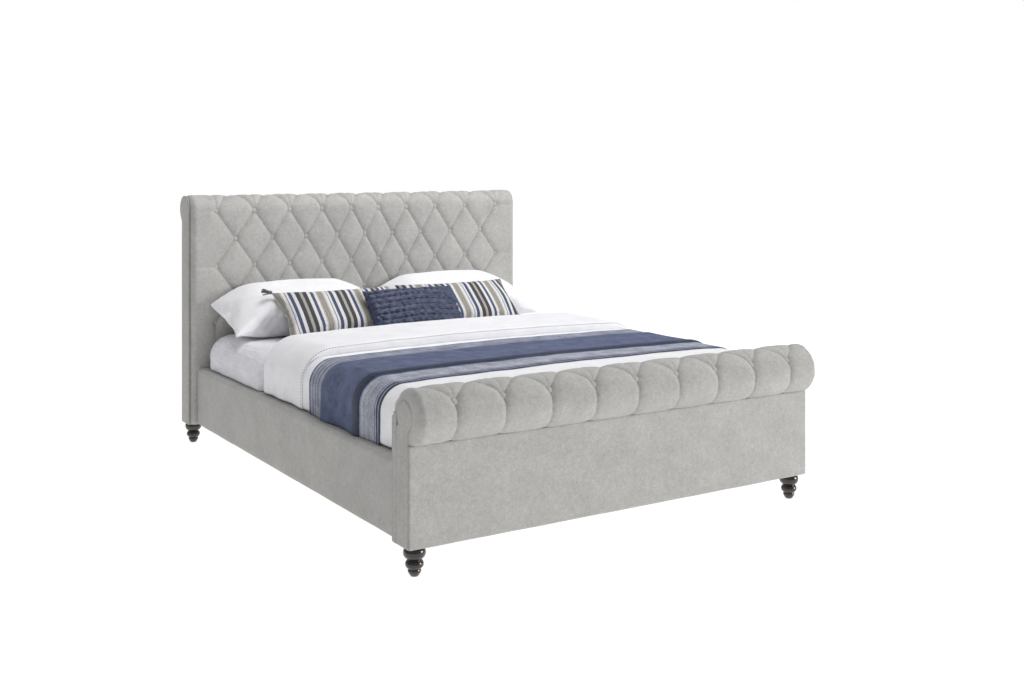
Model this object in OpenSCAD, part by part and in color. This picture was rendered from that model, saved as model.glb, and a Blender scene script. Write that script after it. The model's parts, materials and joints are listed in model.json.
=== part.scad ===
// Upholstered sleigh bed, king size: a buttoned scroll headboard, a rolled footboard,
// padded side rails, a sprung slatted base on a centre rail, turned feet, and the bedding.
// +Z is up, +X is to the right seen from the foot, +Y runs from the foot to the head.
// The origin is on the floor, under the middle of the bed.

/* [Overall] */
// Length from the nose of the foot roll to the back of the head scroll
bed_l = 2320; // [2310:5:2340]
// Width of the headboard
head_w = 1756; // [1740:2:1780]
// Width of the footboard
foot_w = 1720; // [1700:2:1730]
// Width over the outer faces of the side rails
rails_w = 1680; // [1670:2:1690]
// Height of the lower edge of the upholstery, which is the height of the feet
base_z = 95; // [90:1:100]

/* [Headboard] */
// Thickness of the headboard below its scroll
head_t = 100; // [96:1:110]
// Height of the centre of the scroll
scroll_z = 1077; // [1060:1:1120]
// Radius of the scroll
scroll_r = 60; // [56:1:64]
// How far the scroll stands out behind the back
scroll_over = 27; // [20:1:30]
// Thickness of the foam and cover on the front
head_pad_t = 28; // [26:1:30]
// Height of the top row of buttons
button_row_z = 1067; // [1060:1:1075]
// Distance between the rows of buttons
button_row_step = 127; // [120:1:130]
// Distance between the two middle buttons of a row
button_step = 145; // [140:1:150]
// How much that distance grows with each button towards the sides
button_spread = 5.1; // [0:0.1:5.5]

/* [Footboard] */
// Thickness of the footboard below its roll
foot_t = 120; // [118:1:124]
// Radius of the roll
roll_r = 86; // [82:1:90]
// Height of the centre of the roll
roll_z = 506; // [500:1:512]
// Distance of the centre of the roll behind the front face
roll_y = 24; // [20:1:28]
// Number of buttons along the roll
roll_buttons = 9; // [5:2:9]
// Distance between the buttons of the roll
roll_button_step = 180; // [150:1:180]

/* [Side rails] */
// Thickness of a side rail with its cover
rail_t = 65; // [62:1:66]
// Height of the top of a side rail
rail_top = 360; // [350:1:370]

/* [Slatted base] */
// Number of rows of slats
slat_rows = 15; // [12:1:16]
// Width of a slat
slat_w = 63; // [53:1:68]
// Thickness of a slat
slat_t = 8; // [6:1:8]
// Height of the ledges that the slat holders stand on
ledge_z = 255; // [250:1:258]

/* [Bedding] */
// Width of the mattress
mattress_w = 1500; // [1480:5:1500]
// Length of the mattress
mattress_l = 2000; // [1980:5:2000]
// Thickness of the mattress
mattress_t = 240; // [220:5:260]
// Thickness of the duvet
duvet_t = 49; // [40:1:55]
// Thickness of the second layer of the duvet, where its head end is turned down
turn_down_t = 38; // [30:1:45]
// Thickness of the runner
runner_t = 6; // [4:1:8]
// Width of a pillow
pillow_w = 760; // [700:5:760]
// Width of a striped cushion
striped_w = 580; // [500:5:580]
// Width of the blue cushion
blue_w = 450; // [400:5:460]

/* [Hidden] */
$fn = 48;

// Where the boards stand along Y
front_y = -bed_l / 2 + roll_r - roll_y;
foot_in = front_y + foot_t;
head_y = bed_l / 2 - scroll_over - head_t;
head_x = head_w / 2;
foot_x = foot_w / 2;

// Upholsterer's and joiner's stock sizes
facing_t = 8;
end_board_t = 22;
plank_t = 30;
ply_t = 6;
cover_t = 10;
piping_w = 5;
batten_t = 40;
batten_w = 60;
end_batten_w = 130;
mid_batten_x = 280;
centre_batten_w = 120;
former_t = 4;
over = 1;

// Headboard, seen from the side, with Y measured from its front face
frame_y = head_pad_t + ply_t;
frame_t = head_t - frame_y - ply_t;
scroll_y = head_t + scroll_over - scroll_r;
scroll_core_y = frame_y + frame_t / 2;
scroll_core_r = frame_t / 2 + 2;
panel_top = scroll_z - 17;
back_top = scroll_z - scroll_r + 3;
head_rail_z = scroll_z - 77;
head_frame_x = head_x - facing_t - end_board_t;

// Footboard, seen from the side, with Y measured from its front face
roll_core_y = roll_y + 11;
roll_core_z = roll_z + 2;
roll_core_r = 50;
foot_front_ply = 4;
foot_core_y = cover_t + foot_front_ply;
foot_core_t = foot_t - foot_core_y - cover_t - ply_t;
foot_core_top = roll_z - 36;
facing_y = 90;
roll_seam_z = 423;
inner_seam_z = roll_z - 6;
shoulder_r = 22;
shoulder_z = roll_z + 17;
foot_frame_x = foot_x - facing_t - end_board_t;

// Buttons
button_r = 11;
button_h = 7;
button_seat_r = 14;
button_seat_depth = 18;
button_dome_r = 17.1;
head_rows = [10, 9, 10, 9, 10];
roll_button_angle = 142;
roll_button_seat = 70;

// Side rails, seen from the foot, with X from the middle of the bed
rail_x = rails_w / 2;
rail_in = rail_x - rail_t;
core_in = rail_in + 2;
core_t = 40;
core_top = rail_top - 15;
core_base = base_z + 2;
flap_z = ledge_z + 20;
edge_r = 14;
rail_gap = 1;
ledge_w = 42;
ledge_h = 40;

// Corner brackets and their bolts
bracket_t = 3;
bracket_l = 63;
bracket_z = 110;
bracket_h = 95;
bolt_r = 4;
bolt_hole_r = 4.2;
bolt_head_r = 7;
bolt_head_h = 5;
rail_bolt_l = 36;
foot_bolt_l = 45;
head_bolt_l = 66;
bolt_in = 35;
bolt_zs = [135, 180];

// Feet
foot_in_x = 44;
foot_front_in = 47;
foot_rear_in = 35;
stud_r = 4;
stud_hole_r = 4.2;
stud_down = 30;

// Centre rail and legs
centre_w = 45;
centre_h = 70;
hanger_t = 3;
hanger_l = 45;
hanger_w = 90;
hanger_bolt_x = 35;
hanger_bolt_drop = 45;
hanger_bolt_r = 3;
hanger_hole_r = 3.2;
leg_r = 20;
glide_r = 24;
glide_h = 6;
leg_front_y = -340;
leg_rear_y = 360;

// Slats and their holders
slat_wall = 3;
slat_end_gap = 85;
slat_pitch = (head_y - foot_in - 2 * slat_end_gap) / (slat_rows - 1);
holder_w = slat_w + 7;
holder_l = 36;
holder_h = slat_t + 2 * slat_wall;
slat_fit = 0.4;
slat_play = 2;
holder_web = 5;
holder_x = core_in - 3 - holder_l;

// Bedding
mattress_z = ledge_z + holder_h + 1;
mattress_top = mattress_z + mattress_t;
mattress_mid_y = (foot_in + head_y) / 2;
soft_gap = 0.5;
side_gap = 2;
duvet_top = mattress_top + duvet_t + soft_gap;
duvet_x = mattress_w / 2 + side_gap + duvet_t;
drape_z = rail_top + 6;
duvet_foot = foot_in + 15;
duvet_head = front_y + 1405;
turn_down_foot = front_y + 985;
runner_foot = front_y + 325;
runner_head = front_y + 925;
pillow_gap = 35;
pillow_half = 190;
pillow_rise = 100;
pillow_tilt = 15;
pillow_y = head_y - 195;
striped_half = 150;
striped_rise = 50;
striped_tilt = 40;
blue_half = 130;
blue_rise = 42;
blue_tilt = 48;

upholstery = "#B5B6B2";
piping_grey = "#A4A5A1";
softwood = "#D9B98A";
plywood = "#C9A878";
beech = "#E3C79A";
black_wood = "#1B1715";
steel = "#8E9194";
black_plastic = "#222427";
bed_linen = "#F4F4F3";
runner_blue = "#5A6788";
stripe_blue = "#7D8494";
satin_blue = "#39425F";

// ---- Helpers ----

// Extrudes an outline drawn in (Y, Z) along X, from x0 to x1
module along_x(x0, x1) {
    translate([x0, 0, 0])
        rotate([90, 0, 90])
            linear_extrude(x1 - x0)
                children();
}

// A plain block between two corners
module block(lo, hi) {
    translate(lo) cube(hi - lo);
}

// The right side as drawn for s = 1, its mirror image for s = -1
module on_side(s) {
    if (s < 0) mirror([1, 0, 0]) children();
    else children();
}

// Both sides at once
module both_sides() {
    on_side(1) children();
    on_side(-1) children();
}

// ---- Outlines ----

// Side outline of the headboard, d inside its finished surface
module head_outline(d) {
    translate([d, base_z]) square([head_t - 2 * d, scroll_z - base_z]);
    translate([scroll_r, scroll_z]) square([scroll_y - scroll_r, scroll_r - d]);
    translate([scroll_r, scroll_z]) circle(scroll_r - d);
    translate([scroll_y, scroll_z]) circle(scroll_r - d);
}

// Side outline of the headboard's timber
module head_core() {
    translate([frame_y, base_z]) square([frame_t, scroll_z - base_z]);
    translate([scroll_core_y, scroll_z]) circle(scroll_core_r);
}

// Side outline of the footboard's end facing, d inside its piping
module foot_facing(d) {
    translate([cover_t + d, base_z]) square([facing_y - cover_t - 2 * d, foot_core_top - base_z]);
    translate([roll_core_y, roll_core_z]) circle(roll_core_r - d);
}

// Side outline of the footboard's timber
module foot_core() {
    translate([foot_core_y, base_z]) square([foot_core_t, foot_core_top - base_z]);
    translate([roll_core_y, roll_core_z]) circle(roll_core_r);
}

// Side outline of the padded roll, with everything above its two seams
module roll_outline() {
    translate([roll_y, roll_z]) circle(roll_r);
    translate([foot_t - shoulder_r, shoulder_z]) circle(shoulder_r);
    translate([roll_y, roll_z]) square([foot_t - roll_y - shoulder_r, shoulder_z - roll_z + shoulder_r]);
    translate([roll_y, roll_seam_z]) square([foot_t - roll_y, shoulder_z - roll_seam_z]);
    translate([0, roll_seam_z]) square([roll_y, roll_z - roll_seam_z]);
}

// ---- Buttons ----

// One covered button, standing on z = 0
module button() {
    intersection() {
        cylinder(r = button_r, h = button_h);
        translate([0, 0, button_h - button_dome_r]) sphere(button_dome_r);
    }
}

// Place of the kth button along its row, counted from the middle of the bed
function button_x(k) = k * (button_step + button_spread * abs(k));

// Puts its children at each headboard button, with their own +Z towards the front
module at_head_buttons(depth) {
    for (row = [0:len(head_rows) - 1]) {
        for (i = [0:head_rows[row] - 1]) {
            translate([
                button_x(i - (head_rows[row] - 1) / 2),
                head_y + depth,
                button_row_z - row * button_row_step
            ])
                rotate([90, 0, 0]) children();
        }
    }
}

// Puts its children at each roll button, with their own +Z out of the roll
module at_roll_buttons(radius) {
    for (i = [0:roll_buttons - 1]) {
        translate([(i - (roll_buttons - 1) / 2) * roll_button_step, front_y + roll_y, roll_z])
            rotate([roll_button_angle - 90, 0, 0])
                translate([0, 0, radius]) children();
    }
}

// ---- Bolt holes, used by the bolts and by everything that they pass through ----

// Bolts of one corner bracket that run along X into the side rail
module rail_bolt_lines(y, r, x0, x1) {
    for (z = bolt_zs) translate([x0, y, z]) rotate([0, 90, 0]) cylinder(r = r, h = x1 - x0);
}

// Bolts of one corner bracket that run along Y into a board
module board_bolt_lines(y0, y1, r) {
    for (z = bolt_zs) {
        translate([core_in - bolt_in + 2, y1, z]) rotate([90, 0, 0]) cylinder(r = r, h = y1 - y0);
    }
}

// Bolts of one hanger of the centre rail
module hanger_bolt_lines(y0, y1, r) {
    for (s = [-1, 1]) {
        translate([s * hanger_bolt_x, y1, ledge_z - hanger_bolt_drop])
            rotate([90, 0, 0]) cylinder(r = r, h = y1 - y0);
    }
}

// Every hole that the footboard's inner face needs
module foot_fixing_holes() {
    both_sides() board_bolt_lines(front_y, foot_in + over, bolt_hole_r);
    hanger_bolt_lines(front_y, foot_in + over, hanger_hole_r);
}

// Every hole that the headboard's front face needs
module head_fixing_holes() {
    both_sides() board_bolt_lines(head_y - over, head_y + head_t - ply_t, bolt_hole_r);
    hanger_bolt_lines(head_y - over, head_y + head_t - ply_t, hanger_hole_r);
}

// ---- Headboard ----

module headboard_end_board(s) {
    color(softwood)
        on_side(s)
            translate([0, head_y, 0])
                along_x(head_frame_x, head_frame_x + end_board_t) head_core();
}

module headboard_bottom_rail() {
    color(softwood)
        difference() {
            block(
                [-head_frame_x, head_y + frame_y, base_z],
                [head_frame_x, head_y + frame_y + frame_t, base_z + plank_t]
            );
            both_sides() rear_stud(stud_hole_r, over);
        }
}

module headboard_top_rail() {
    color(softwood)
        block(
            [-head_frame_x, head_y + frame_y, head_rail_z],
            [head_frame_x, head_y + frame_y + frame_t, scroll_z]
        );
}

module headboard_stiles() {
    y0 = head_y + frame_y;
    y1 = y0 + batten_t;
    z0 = base_z + plank_t;
    color(softwood)
        difference() {
            union() {
                both_sides() {
                    block([head_frame_x - end_batten_w, y0, z0], [head_frame_x, y1, head_rail_z]);
                    block([mid_batten_x, y0, z0], [mid_batten_x + batten_w, y1, head_rail_z]);
                }
                block([-centre_batten_w / 2, y0, z0], [centre_batten_w / 2, y1, head_rail_z]);
            }
            head_fixing_holes();
        }
}

module headboard_scroll_former() {
    color(plywood)
        translate([0, head_y, 0])
            along_x(-head_frame_x, head_frame_x)
                difference() {
                    translate([scroll_core_y, scroll_z]) circle(scroll_core_r);
                    translate([scroll_core_y, scroll_z]) circle(scroll_core_r - former_t);
                    translate([0, scroll_z - scroll_r]) square([head_t + scroll_r, scroll_r]);
                }
}

module headboard_front_panel() {
    color(plywood)
        difference() {
            block(
                [-head_x + facing_t, head_y + head_pad_t, base_z],
                [head_x - facing_t, head_y + frame_y, panel_top]
            );
            head_fixing_holes();
        }
}

module headboard_back_cover() {
    color(upholstery)
        block(
            [-head_x + facing_t, head_y + head_t - ply_t, base_z],
            [head_x - facing_t, head_y + head_t, back_top]
        );
}

module headboard_padding() {
    color(upholstery)
        difference() {
            translate([0, head_y, 0])
                along_x(-head_x + facing_t, head_x - facing_t)
                    difference() {
                        head_outline(0);
                        head_core();
                        translate([head_pad_t, base_z]) square([ply_t, panel_top - base_z]);
                        translate([head_t - ply_t, base_z]) square([ply_t + over, back_top - base_z]);
                    }
            at_head_buttons(button_seat_depth) cylinder(r = button_seat_r, h = button_seat_depth + over);
            head_fixing_holes();
        }
}

module headboard_buttons() {
    color(upholstery) at_head_buttons(button_seat_depth) button();
}

module headboard_facing(s) {
    color(upholstery)
        on_side(s)
            translate([0, head_y, 0])
                along_x(head_x - facing_t, head_x) head_outline(piping_w);
}

module headboard_piping() {
    color(piping_grey)
        both_sides()
            translate([0, head_y, 0])
                along_x(head_x - facing_t, head_x)
                    difference() {
                        head_outline(0);
                        head_outline(piping_w);
                    }
}

// ---- Footboard ----

module footboard_end_board(s) {
    color(softwood)
        on_side(s)
            translate([0, front_y, 0])
                along_x(foot_frame_x, foot_frame_x + end_board_t) foot_core();
}

module footboard_bottom_rail() {
    color(softwood)
        difference() {
            block(
                [-foot_frame_x, front_y + foot_core_y, base_z],
                [foot_frame_x, front_y + foot_core_y + foot_core_t, base_z + plank_t]
            );
            both_sides() front_stud(stud_hole_r, over);
        }
}

module footboard_top_rail() {
    color(softwood)
        block(
            [-foot_frame_x, front_y + foot_core_y, foot_core_top - batten_t],
            [foot_frame_x, front_y + foot_core_y + foot_core_t, foot_core_top]
        );
}

module footboard_stiles() {
    y1 = front_y + foot_core_y + foot_core_t;
    z0 = base_z + plank_t;
    z1 = foot_core_top - batten_t;
    color(softwood)
        difference() {
            union() {
                both_sides() {
                    block([foot_frame_x - end_batten_w, y1 - batten_t, z0], [foot_frame_x, y1, z1]);
                    block([mid_batten_x, y1 - batten_t, z0], [mid_batten_x + batten_w, y1, z1]);
                }
                block([-centre_batten_w / 2, y1 - batten_t, z0], [centre_batten_w / 2, y1, z1]);
            }
            foot_fixing_holes();
        }
}

module footboard_roll_former() {
    color(plywood)
        translate([0, front_y, 0])
            along_x(-foot_frame_x, foot_frame_x)
                difference() {
                    translate([roll_core_y, roll_core_z]) circle(roll_core_r);
                    translate([roll_core_y, roll_core_z]) circle(roll_core_r - former_t);
                    translate([-roll_r, 0]) square([2 * roll_r + foot_t, foot_core_top]);
                }
}

module footboard_front_panel() {
    color(plywood)
        block(
            [-foot_x + facing_t, front_y + cover_t, base_z],
            [foot_x - facing_t, front_y + foot_core_y, foot_core_top - batten_t]
        );
}

module footboard_back_panel() {
    color(plywood)
        difference() {
            block(
                [-foot_x + facing_t, front_y + foot_core_y + foot_core_t, base_z],
                [foot_x - facing_t, foot_in - cover_t, foot_core_top]
            );
            foot_fixing_holes();
        }
}

module footboard_front_cover() {
    color(upholstery)
        block([-foot_x, front_y, base_z], [foot_x, front_y + cover_t, roll_z - roll_r]);
}

module footboard_inner_cover() {
    color(upholstery)
        difference() {
            union() {
                block([-foot_x, foot_in - cover_t, base_z], [foot_x, foot_in, inner_seam_z]);
                both_sides()
                    block(
                        [foot_x - facing_t, front_y + facing_y, base_z],
                        [foot_x, foot_in - cover_t, foot_core_top]
                    );
            }
            foot_fixing_holes();
        }
}

module footboard_roll() {
    color(upholstery)
        difference() {
            translate([0, front_y, 0])
                along_x(-foot_x, foot_x)
                    difference() {
                        roll_outline();
                        translate([roll_core_y, roll_core_z]) circle(roll_core_r);
                        translate([cover_t, base_z]) square([foot_t - cover_t, foot_core_top - base_z]);
                        translate([foot_t - cover_t, base_z])
                            square([cover_t + over, inner_seam_z - base_z]);
                    }
            at_roll_buttons(roll_button_seat) cylinder(r = button_seat_r, h = roll_r);
        }
}

module footboard_buttons() {
    color(upholstery) at_roll_buttons(roll_button_seat) button();
}

module footboard_facing(s) {
    color(upholstery)
        on_side(s)
            translate([0, front_y, 0])
                along_x(foot_x - facing_t, foot_x) foot_facing(piping_w);
}

module footboard_piping() {
    color(piping_grey)
        both_sides()
            translate([0, front_y, 0])
                along_x(foot_x - facing_t, foot_x)
                    difference() {
                        foot_facing(0);
                        foot_facing(piping_w);
                    }
}

// ---- Side rails ----

module rail_core(s) {
    x0 = core_in - over;
    x1 = core_in + rail_bolt_l + over;
    color(softwood)
        on_side(s)
            difference() {
                block(
                    [core_in, foot_in + rail_gap, core_base],
                    [core_in + core_t, head_y - rail_gap, core_top]
                );
                rail_bolt_lines(foot_in + bolt_in, bolt_hole_r, x0, x1);
                rail_bolt_lines(head_y - bolt_in, bolt_hole_r, x0, x1);
            }
}

// End view of a rail's cover, which wraps the board and folds in under the slats
module rail_cover_outline() {
    difference() {
        union() {
            translate([rail_in, base_z]) square([rail_t, rail_top - edge_r - base_z]);
            translate([rail_in + edge_r, base_z]) square([rail_t - 2 * edge_r, rail_top - base_z]);
            translate([rail_in + edge_r, rail_top - edge_r]) circle(edge_r);
            translate([rail_x - edge_r, rail_top - edge_r]) circle(edge_r);
        }
        translate([core_in, core_base]) square([core_t, core_top - core_base]);
        translate([rail_in - over, base_z - over]) square([core_in - rail_in + over, flap_z - base_z]);
    }
}

module rail_cover(s) {
    color(upholstery)
        on_side(s)
            translate([0, head_y - rail_gap, 0])
                rotate([90, 0, 0])
                    linear_extrude(head_y - foot_in - 2 * rail_gap) rail_cover_outline();
}

module slat_ledge(s) {
    color(softwood)
        on_side(s)
            block(
                [core_in - ledge_w, foot_in + 2 * bracket_t, ledge_z - ledge_h],
                [core_in, head_y - 2 * bracket_t, ledge_z]
            );
}

// ---- Corner brackets ----

// The bracket in the right-hand front corner
module front_bracket() {
    x1 = core_in;
    z1 = bracket_z + bracket_h;
    difference() {
        union() {
            block([x1 - bracket_t, foot_in, bracket_z], [x1, foot_in + bracket_l, z1]);
            block([x1 - bracket_l, foot_in, bracket_z], [x1, foot_in + bracket_t, z1]);
        }
        rail_bolt_lines(foot_in + bolt_in, bolt_hole_r, x1 - bracket_t - over, x1 + over);
        board_bolt_lines(foot_in - over, foot_in + bracket_t + over, bolt_hole_r);
    }
}

// The bracket in the right-hand head corner
module rear_bracket() {
    x1 = core_in;
    z1 = bracket_z + bracket_h;
    difference() {
        union() {
            block([x1 - bracket_t, head_y - bracket_l, bracket_z], [x1, head_y, z1]);
            block([x1 - bracket_l, head_y - bracket_t, bracket_z], [x1, head_y, z1]);
        }
        rail_bolt_lines(head_y - bolt_in, bolt_hole_r, x1 - bracket_t - over, x1 + over);
        board_bolt_lines(head_y - bracket_t - over, head_y + over, bolt_hole_r);
    }
}

module corner_bracket_front(s) {
    color(steel) on_side(s) front_bracket();
}

module corner_bracket_rear(s) {
    color(steel) on_side(s) rear_bracket();
}

// Bolts of the right-hand corners: each has a round head and a shank
module corner_bolts() {
    x0 = core_in - bracket_t;
    for (y = [foot_in + bolt_in, head_y - bolt_in]) {
        rail_bolt_lines(y, bolt_r, x0, x0 + rail_bolt_l);
        rail_bolt_lines(y, bolt_head_r, x0 - bolt_head_h, x0);
    }
    board_bolt_lines(foot_in + bracket_t - foot_bolt_l, foot_in + bracket_t, bolt_r);
    board_bolt_lines(foot_in + bracket_t, foot_in + bracket_t + bolt_head_h, bolt_head_r);
    board_bolt_lines(head_y - bracket_t, head_y - bracket_t + head_bolt_l, bolt_r);
    board_bolt_lines(head_y - bracket_t - bolt_head_h, head_y - bracket_t, bolt_head_r);
}

module bracket_bolts() {
    color(steel) {
        both_sides() corner_bolts();
        hanger_bolt_lines(foot_in + hanger_t - foot_bolt_l, foot_in + hanger_t, hanger_bolt_r);
        hanger_bolt_lines(foot_in + hanger_t, foot_in + 2 * hanger_t, 2 * hanger_bolt_r);
        hanger_bolt_lines(head_y - hanger_t, head_y - hanger_t + head_bolt_l, hanger_bolt_r);
        hanger_bolt_lines(head_y - 2 * hanger_t, head_y - hanger_t, 2 * hanger_bolt_r);
    }
}

// ---- Feet ----

// A turned foot under z = base_z, with two beads and a tapered toe, and a hole for its stud
module turned_foot() {
    toe_r = 13.5;
    collar_r = 21.8;
    collar_z = 17;
    collar_top = 20;
    lower_neck_r = 19.5;
    upper_neck_r = 23.5;
    bead_r = 15;
    bead_z = 38.6;
    bun_r = 22;
    bun_x = 14.8;
    bun_z = 75;
    difference() {
        rotate_extrude() {
            polygon([
                [0, 0], [toe_r, 0], [collar_r - 1.5, 12], [collar_r, collar_z], [collar_r, collar_top],
                [lower_neck_r, collar_top + 2], [lower_neck_r, bead_z], [0, bead_z]
            ]);
            translate([bead_r, bead_z]) circle(bead_r);
            translate([0, bead_z - bead_r]) square([bead_r, 2 * bead_r]);
            translate([0, bead_z]) square([upper_neck_r, bun_z - bead_z]);
            intersection() {
                translate([bun_x, bun_z]) circle(bun_r);
                square([2 * bun_r, base_z]);
            }
            translate([0, bun_z - bun_r]) square([bun_x, base_z - bun_z + bun_r]);
        }
        translate([0, 0, base_z - stud_down]) cylinder(r = stud_hole_r, h = stud_down + over);
    }
}

module foot_at_front(s) {
    translate([s * (foot_x - foot_in_x), front_y + foot_front_in, 0]) children();
}

module foot_at_rear(s) {
    translate([s * (head_x - foot_in_x), head_y + head_t - foot_rear_in, 0]) children();
}

module foot_front(s) {
    color(black_wood) foot_at_front(s) turned_foot();
}

module foot_rear(s) {
    color(black_wood) foot_at_rear(s) turned_foot();
}

// Stud of the right-hand front foot, longer by extra at each end
module front_stud(r, extra) {
    foot_at_front(1)
        translate([0, 0, base_z - stud_down - extra + 1])
            cylinder(r = r, h = stud_down + plank_t + 2 * extra - 2);
}

// Stud of the right-hand rear foot, longer by extra at each end
module rear_stud(r, extra) {
    foot_at_rear(1)
        translate([0, 0, base_z - stud_down - extra + 1])
            cylinder(r = r, h = stud_down + plank_t + 2 * extra - 2);
}

module foot_studs() {
    color(steel)
        both_sides() {
            front_stud(stud_r, 0);
            rear_stud(stud_r, 0);
        }
}

// ---- Centre rail ----

module centre_rail() {
    color(softwood)
        block(
            [-centre_w / 2, foot_in + hanger_t + rail_gap, ledge_z - centre_h],
            [centre_w / 2, head_y - hanger_t - rail_gap, ledge_z]
        );
}

// The hanger on the footboard: a back plate and a cup for the end of the rail
module front_hanger() {
    x1 = centre_w / 2;
    z0 = ledge_z - centre_h;
    difference() {
        union() {
            block(
                [-hanger_w / 2, foot_in, z0 - hanger_t],
                [hanger_w / 2, foot_in + hanger_t, ledge_z]
            );
            block([-x1 - hanger_t, foot_in, z0 - hanger_t], [x1 + hanger_t, foot_in + hanger_l, z0]);
            both_sides() block([x1, foot_in, z0 - hanger_t], [x1 + hanger_t, foot_in + hanger_l, ledge_z]);
        }
        hanger_bolt_lines(foot_in - over, foot_in + hanger_t + over, hanger_hole_r);
    }
}

module centre_rail_hangers() {
    color(steel) {
        front_hanger();
        translate([0, foot_in + head_y, 0]) mirror([0, 1, 0]) front_hanger();
    }
}

module centre_leg(y) {
    color(black_plastic)
        translate([0, y, 0]) {
            cylinder(r = glide_r, h = glide_h);
            translate([0, 0, glide_h]) cylinder(r = leg_r, h = ledge_z - centre_h - glide_h);
        }
}

// ---- Slats ----

// Puts its children at each row of slats, standing on the ledges
module at_slat_rows() {
    for (i = [0:slat_rows - 1]) {
        translate([0, foot_in + slat_end_gap + i * slat_pitch, ledge_z]) children();
    }
}

module slats(s) {
    x0 = holder_web + slat_play;
    x1 = holder_x + holder_l - slat_wall - slat_play;
    color(beech)
        on_side(s)
            at_slat_rows()
                translate([0, 0, slat_wall]) block([x0, -slat_w / 2, 0], [x1, slat_w / 2, slat_t]);
}

// The space for the end of a slat in a holder
module slat_pocket(x0, x1) {
    half = slat_w / 2 + slat_fit;
    block([x0, -half, slat_wall - slat_fit], [x1, half, slat_wall + slat_t + slat_fit]);
}

module slat_side_holders() {
    x1 = holder_x + holder_l;
    color(black_plastic)
        both_sides()
            at_slat_rows()
                difference() {
                    block([holder_x, -holder_w / 2, 0], [x1, holder_w / 2, holder_h]);
                    slat_pocket(holder_x - over, x1 - slat_wall);
                }
}

module slat_centre_holders() {
    x1 = holder_web + holder_l;
    color(black_plastic)
        at_slat_rows()
            difference() {
                block([-x1, -holder_w / 2, 0], [x1, holder_w / 2, holder_h]);
                both_sides() slat_pocket(holder_web, x1 + over);
            }
}

// ---- Bedding ----

module mattress() {
    corner = 45;
    color(bed_linen)
        translate([0, mattress_mid_y, mattress_z])
            linear_extrude(mattress_t) {
                square([mattress_w - 2 * corner, mattress_l], center = true);
                square([mattress_w, mattress_l - 2 * corner], center = true);
                for (x = [-1, 1], y = [-1, 1]) {
                    translate([x * (mattress_w / 2 - corner), y * (mattress_l / 2 - corner)])
                        circle(corner);
                }
            }
}

// An arch over the bed, seen from the foot: a top layer with a drop on each side
module arch_outline(x_in, x_out, z_in, z_out, corner) {
    difference() {
        union() {
            translate([-x_out, drape_z]) square([2 * x_out, z_out - corner - drape_z]);
            translate([-x_out + corner, drape_z]) square([2 * (x_out - corner), z_out - drape_z]);
            for (s = [-1, 1]) translate([s * (x_out - corner), z_out - corner]) circle(corner);
        }
        translate([-x_in, 0]) square([2 * x_in, z_in]);
    }
}

// Extrudes an outline drawn in (X, Z) along Y, from y0 to y1
module along_y(y0, y1) {
    translate([0, y1, 0])
        rotate([90, 0, 0])
            linear_extrude(y1 - y0)
                children();
}

module duvet() {
    inner_x = mattress_w / 2 + side_gap;
    inner_z = mattress_top + soft_gap;
    corner = 45;
    color(bed_linen) {
        along_y(duvet_foot, duvet_head) arch_outline(inner_x, duvet_x, inner_z, duvet_top, corner);
        along_y(turn_down_foot, duvet_head)
            translate([-duvet_x + 1.5 * corner, duvet_top - over])
                square([2 * duvet_x - 3 * corner, turn_down_t + over]);
    }
}

module runner() {
    inner_x = duvet_x + soft_gap;
    inner_z = duvet_top + soft_gap;
    corner = 45;
    outer_x = inner_x + runner_t;
    outer_z = inner_z + runner_t;
    color(runner_blue)
        along_y(runner_foot, runner_head)
            difference() {
                arch_outline(inner_x, outer_x, inner_z - corner, outer_z, corner + runner_t);
                translate([-inner_x + corner, drape_z]) square([2 * (inner_x - corner), inner_z - drape_z]);
                for (s = [-1, 1]) translate([s * (inner_x - corner), inner_z - corner]) circle(corner);
            }
}

// Radius of the two arcs of a cushion seen from its end, from its half height and half thickness
function cushion_r(half, rise) = (half * half + rise * rise) / (2 * rise);

// Distance along Y between two leaning cushions whose arcs just touch
function lean_step(r_sum, dz) = sqrt(r_sum * r_sum - dz * dz);

// End view of a cushion: two arcs that meet at its edges
module cushion_outline(half, rise) {
    r = cushion_r(half, rise);
    intersection() {
        translate([0, rise - r]) circle(r);
        translate([0, r - rise]) circle(r);
    }
}

module cushion(x, y, z, w, half, rise, tilt) {
    translate([x, y, z])
        rotate([tilt, 0, 0])
            along_x(-w / 2, w / 2) cushion_outline(half, rise);
}

// The pillows lie on the mattress against the headboard
pillow_r = cushion_r(pillow_half, pillow_rise);
pillow_off = pillow_r - pillow_rise;
pillow_z = mattress_top + soft_gap + pillow_r - pillow_off * cos(pillow_tilt);
pillow_top_y = pillow_y + pillow_off * sin(pillow_tilt);
pillow_top_z = pillow_z - pillow_off * cos(pillow_tilt);

// The striped cushions stand on the mattress and lean on the pillows
striped_r = cushion_r(striped_half, striped_rise);
striped_off = striped_r - striped_rise;
striped_z = mattress_top + soft_gap + striped_half * sin(striped_tilt);
striped_back_z = striped_z + striped_off * cos(striped_tilt);
striped_back_y = pillow_top_y - lean_step(pillow_r + striped_r + soft_gap, striped_back_z - pillow_top_z);
striped_y = striped_back_y + striped_off * sin(striped_tilt);
striped_top_y = striped_y + striped_off * sin(striped_tilt);
striped_top_z = striped_z - striped_off * cos(striped_tilt);

// The blue cushion stands on the mattress and leans on the striped ones
blue_r = cushion_r(blue_half, blue_rise);
blue_off = blue_r - blue_rise;
blue_z = mattress_top + soft_gap + blue_half * sin(blue_tilt);
blue_back_z = blue_z + blue_off * cos(blue_tilt);
blue_back_y = striped_top_y - lean_step(striped_r + blue_r + soft_gap, blue_back_z - striped_top_z);
blue_y = blue_back_y + blue_off * sin(blue_tilt);

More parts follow.
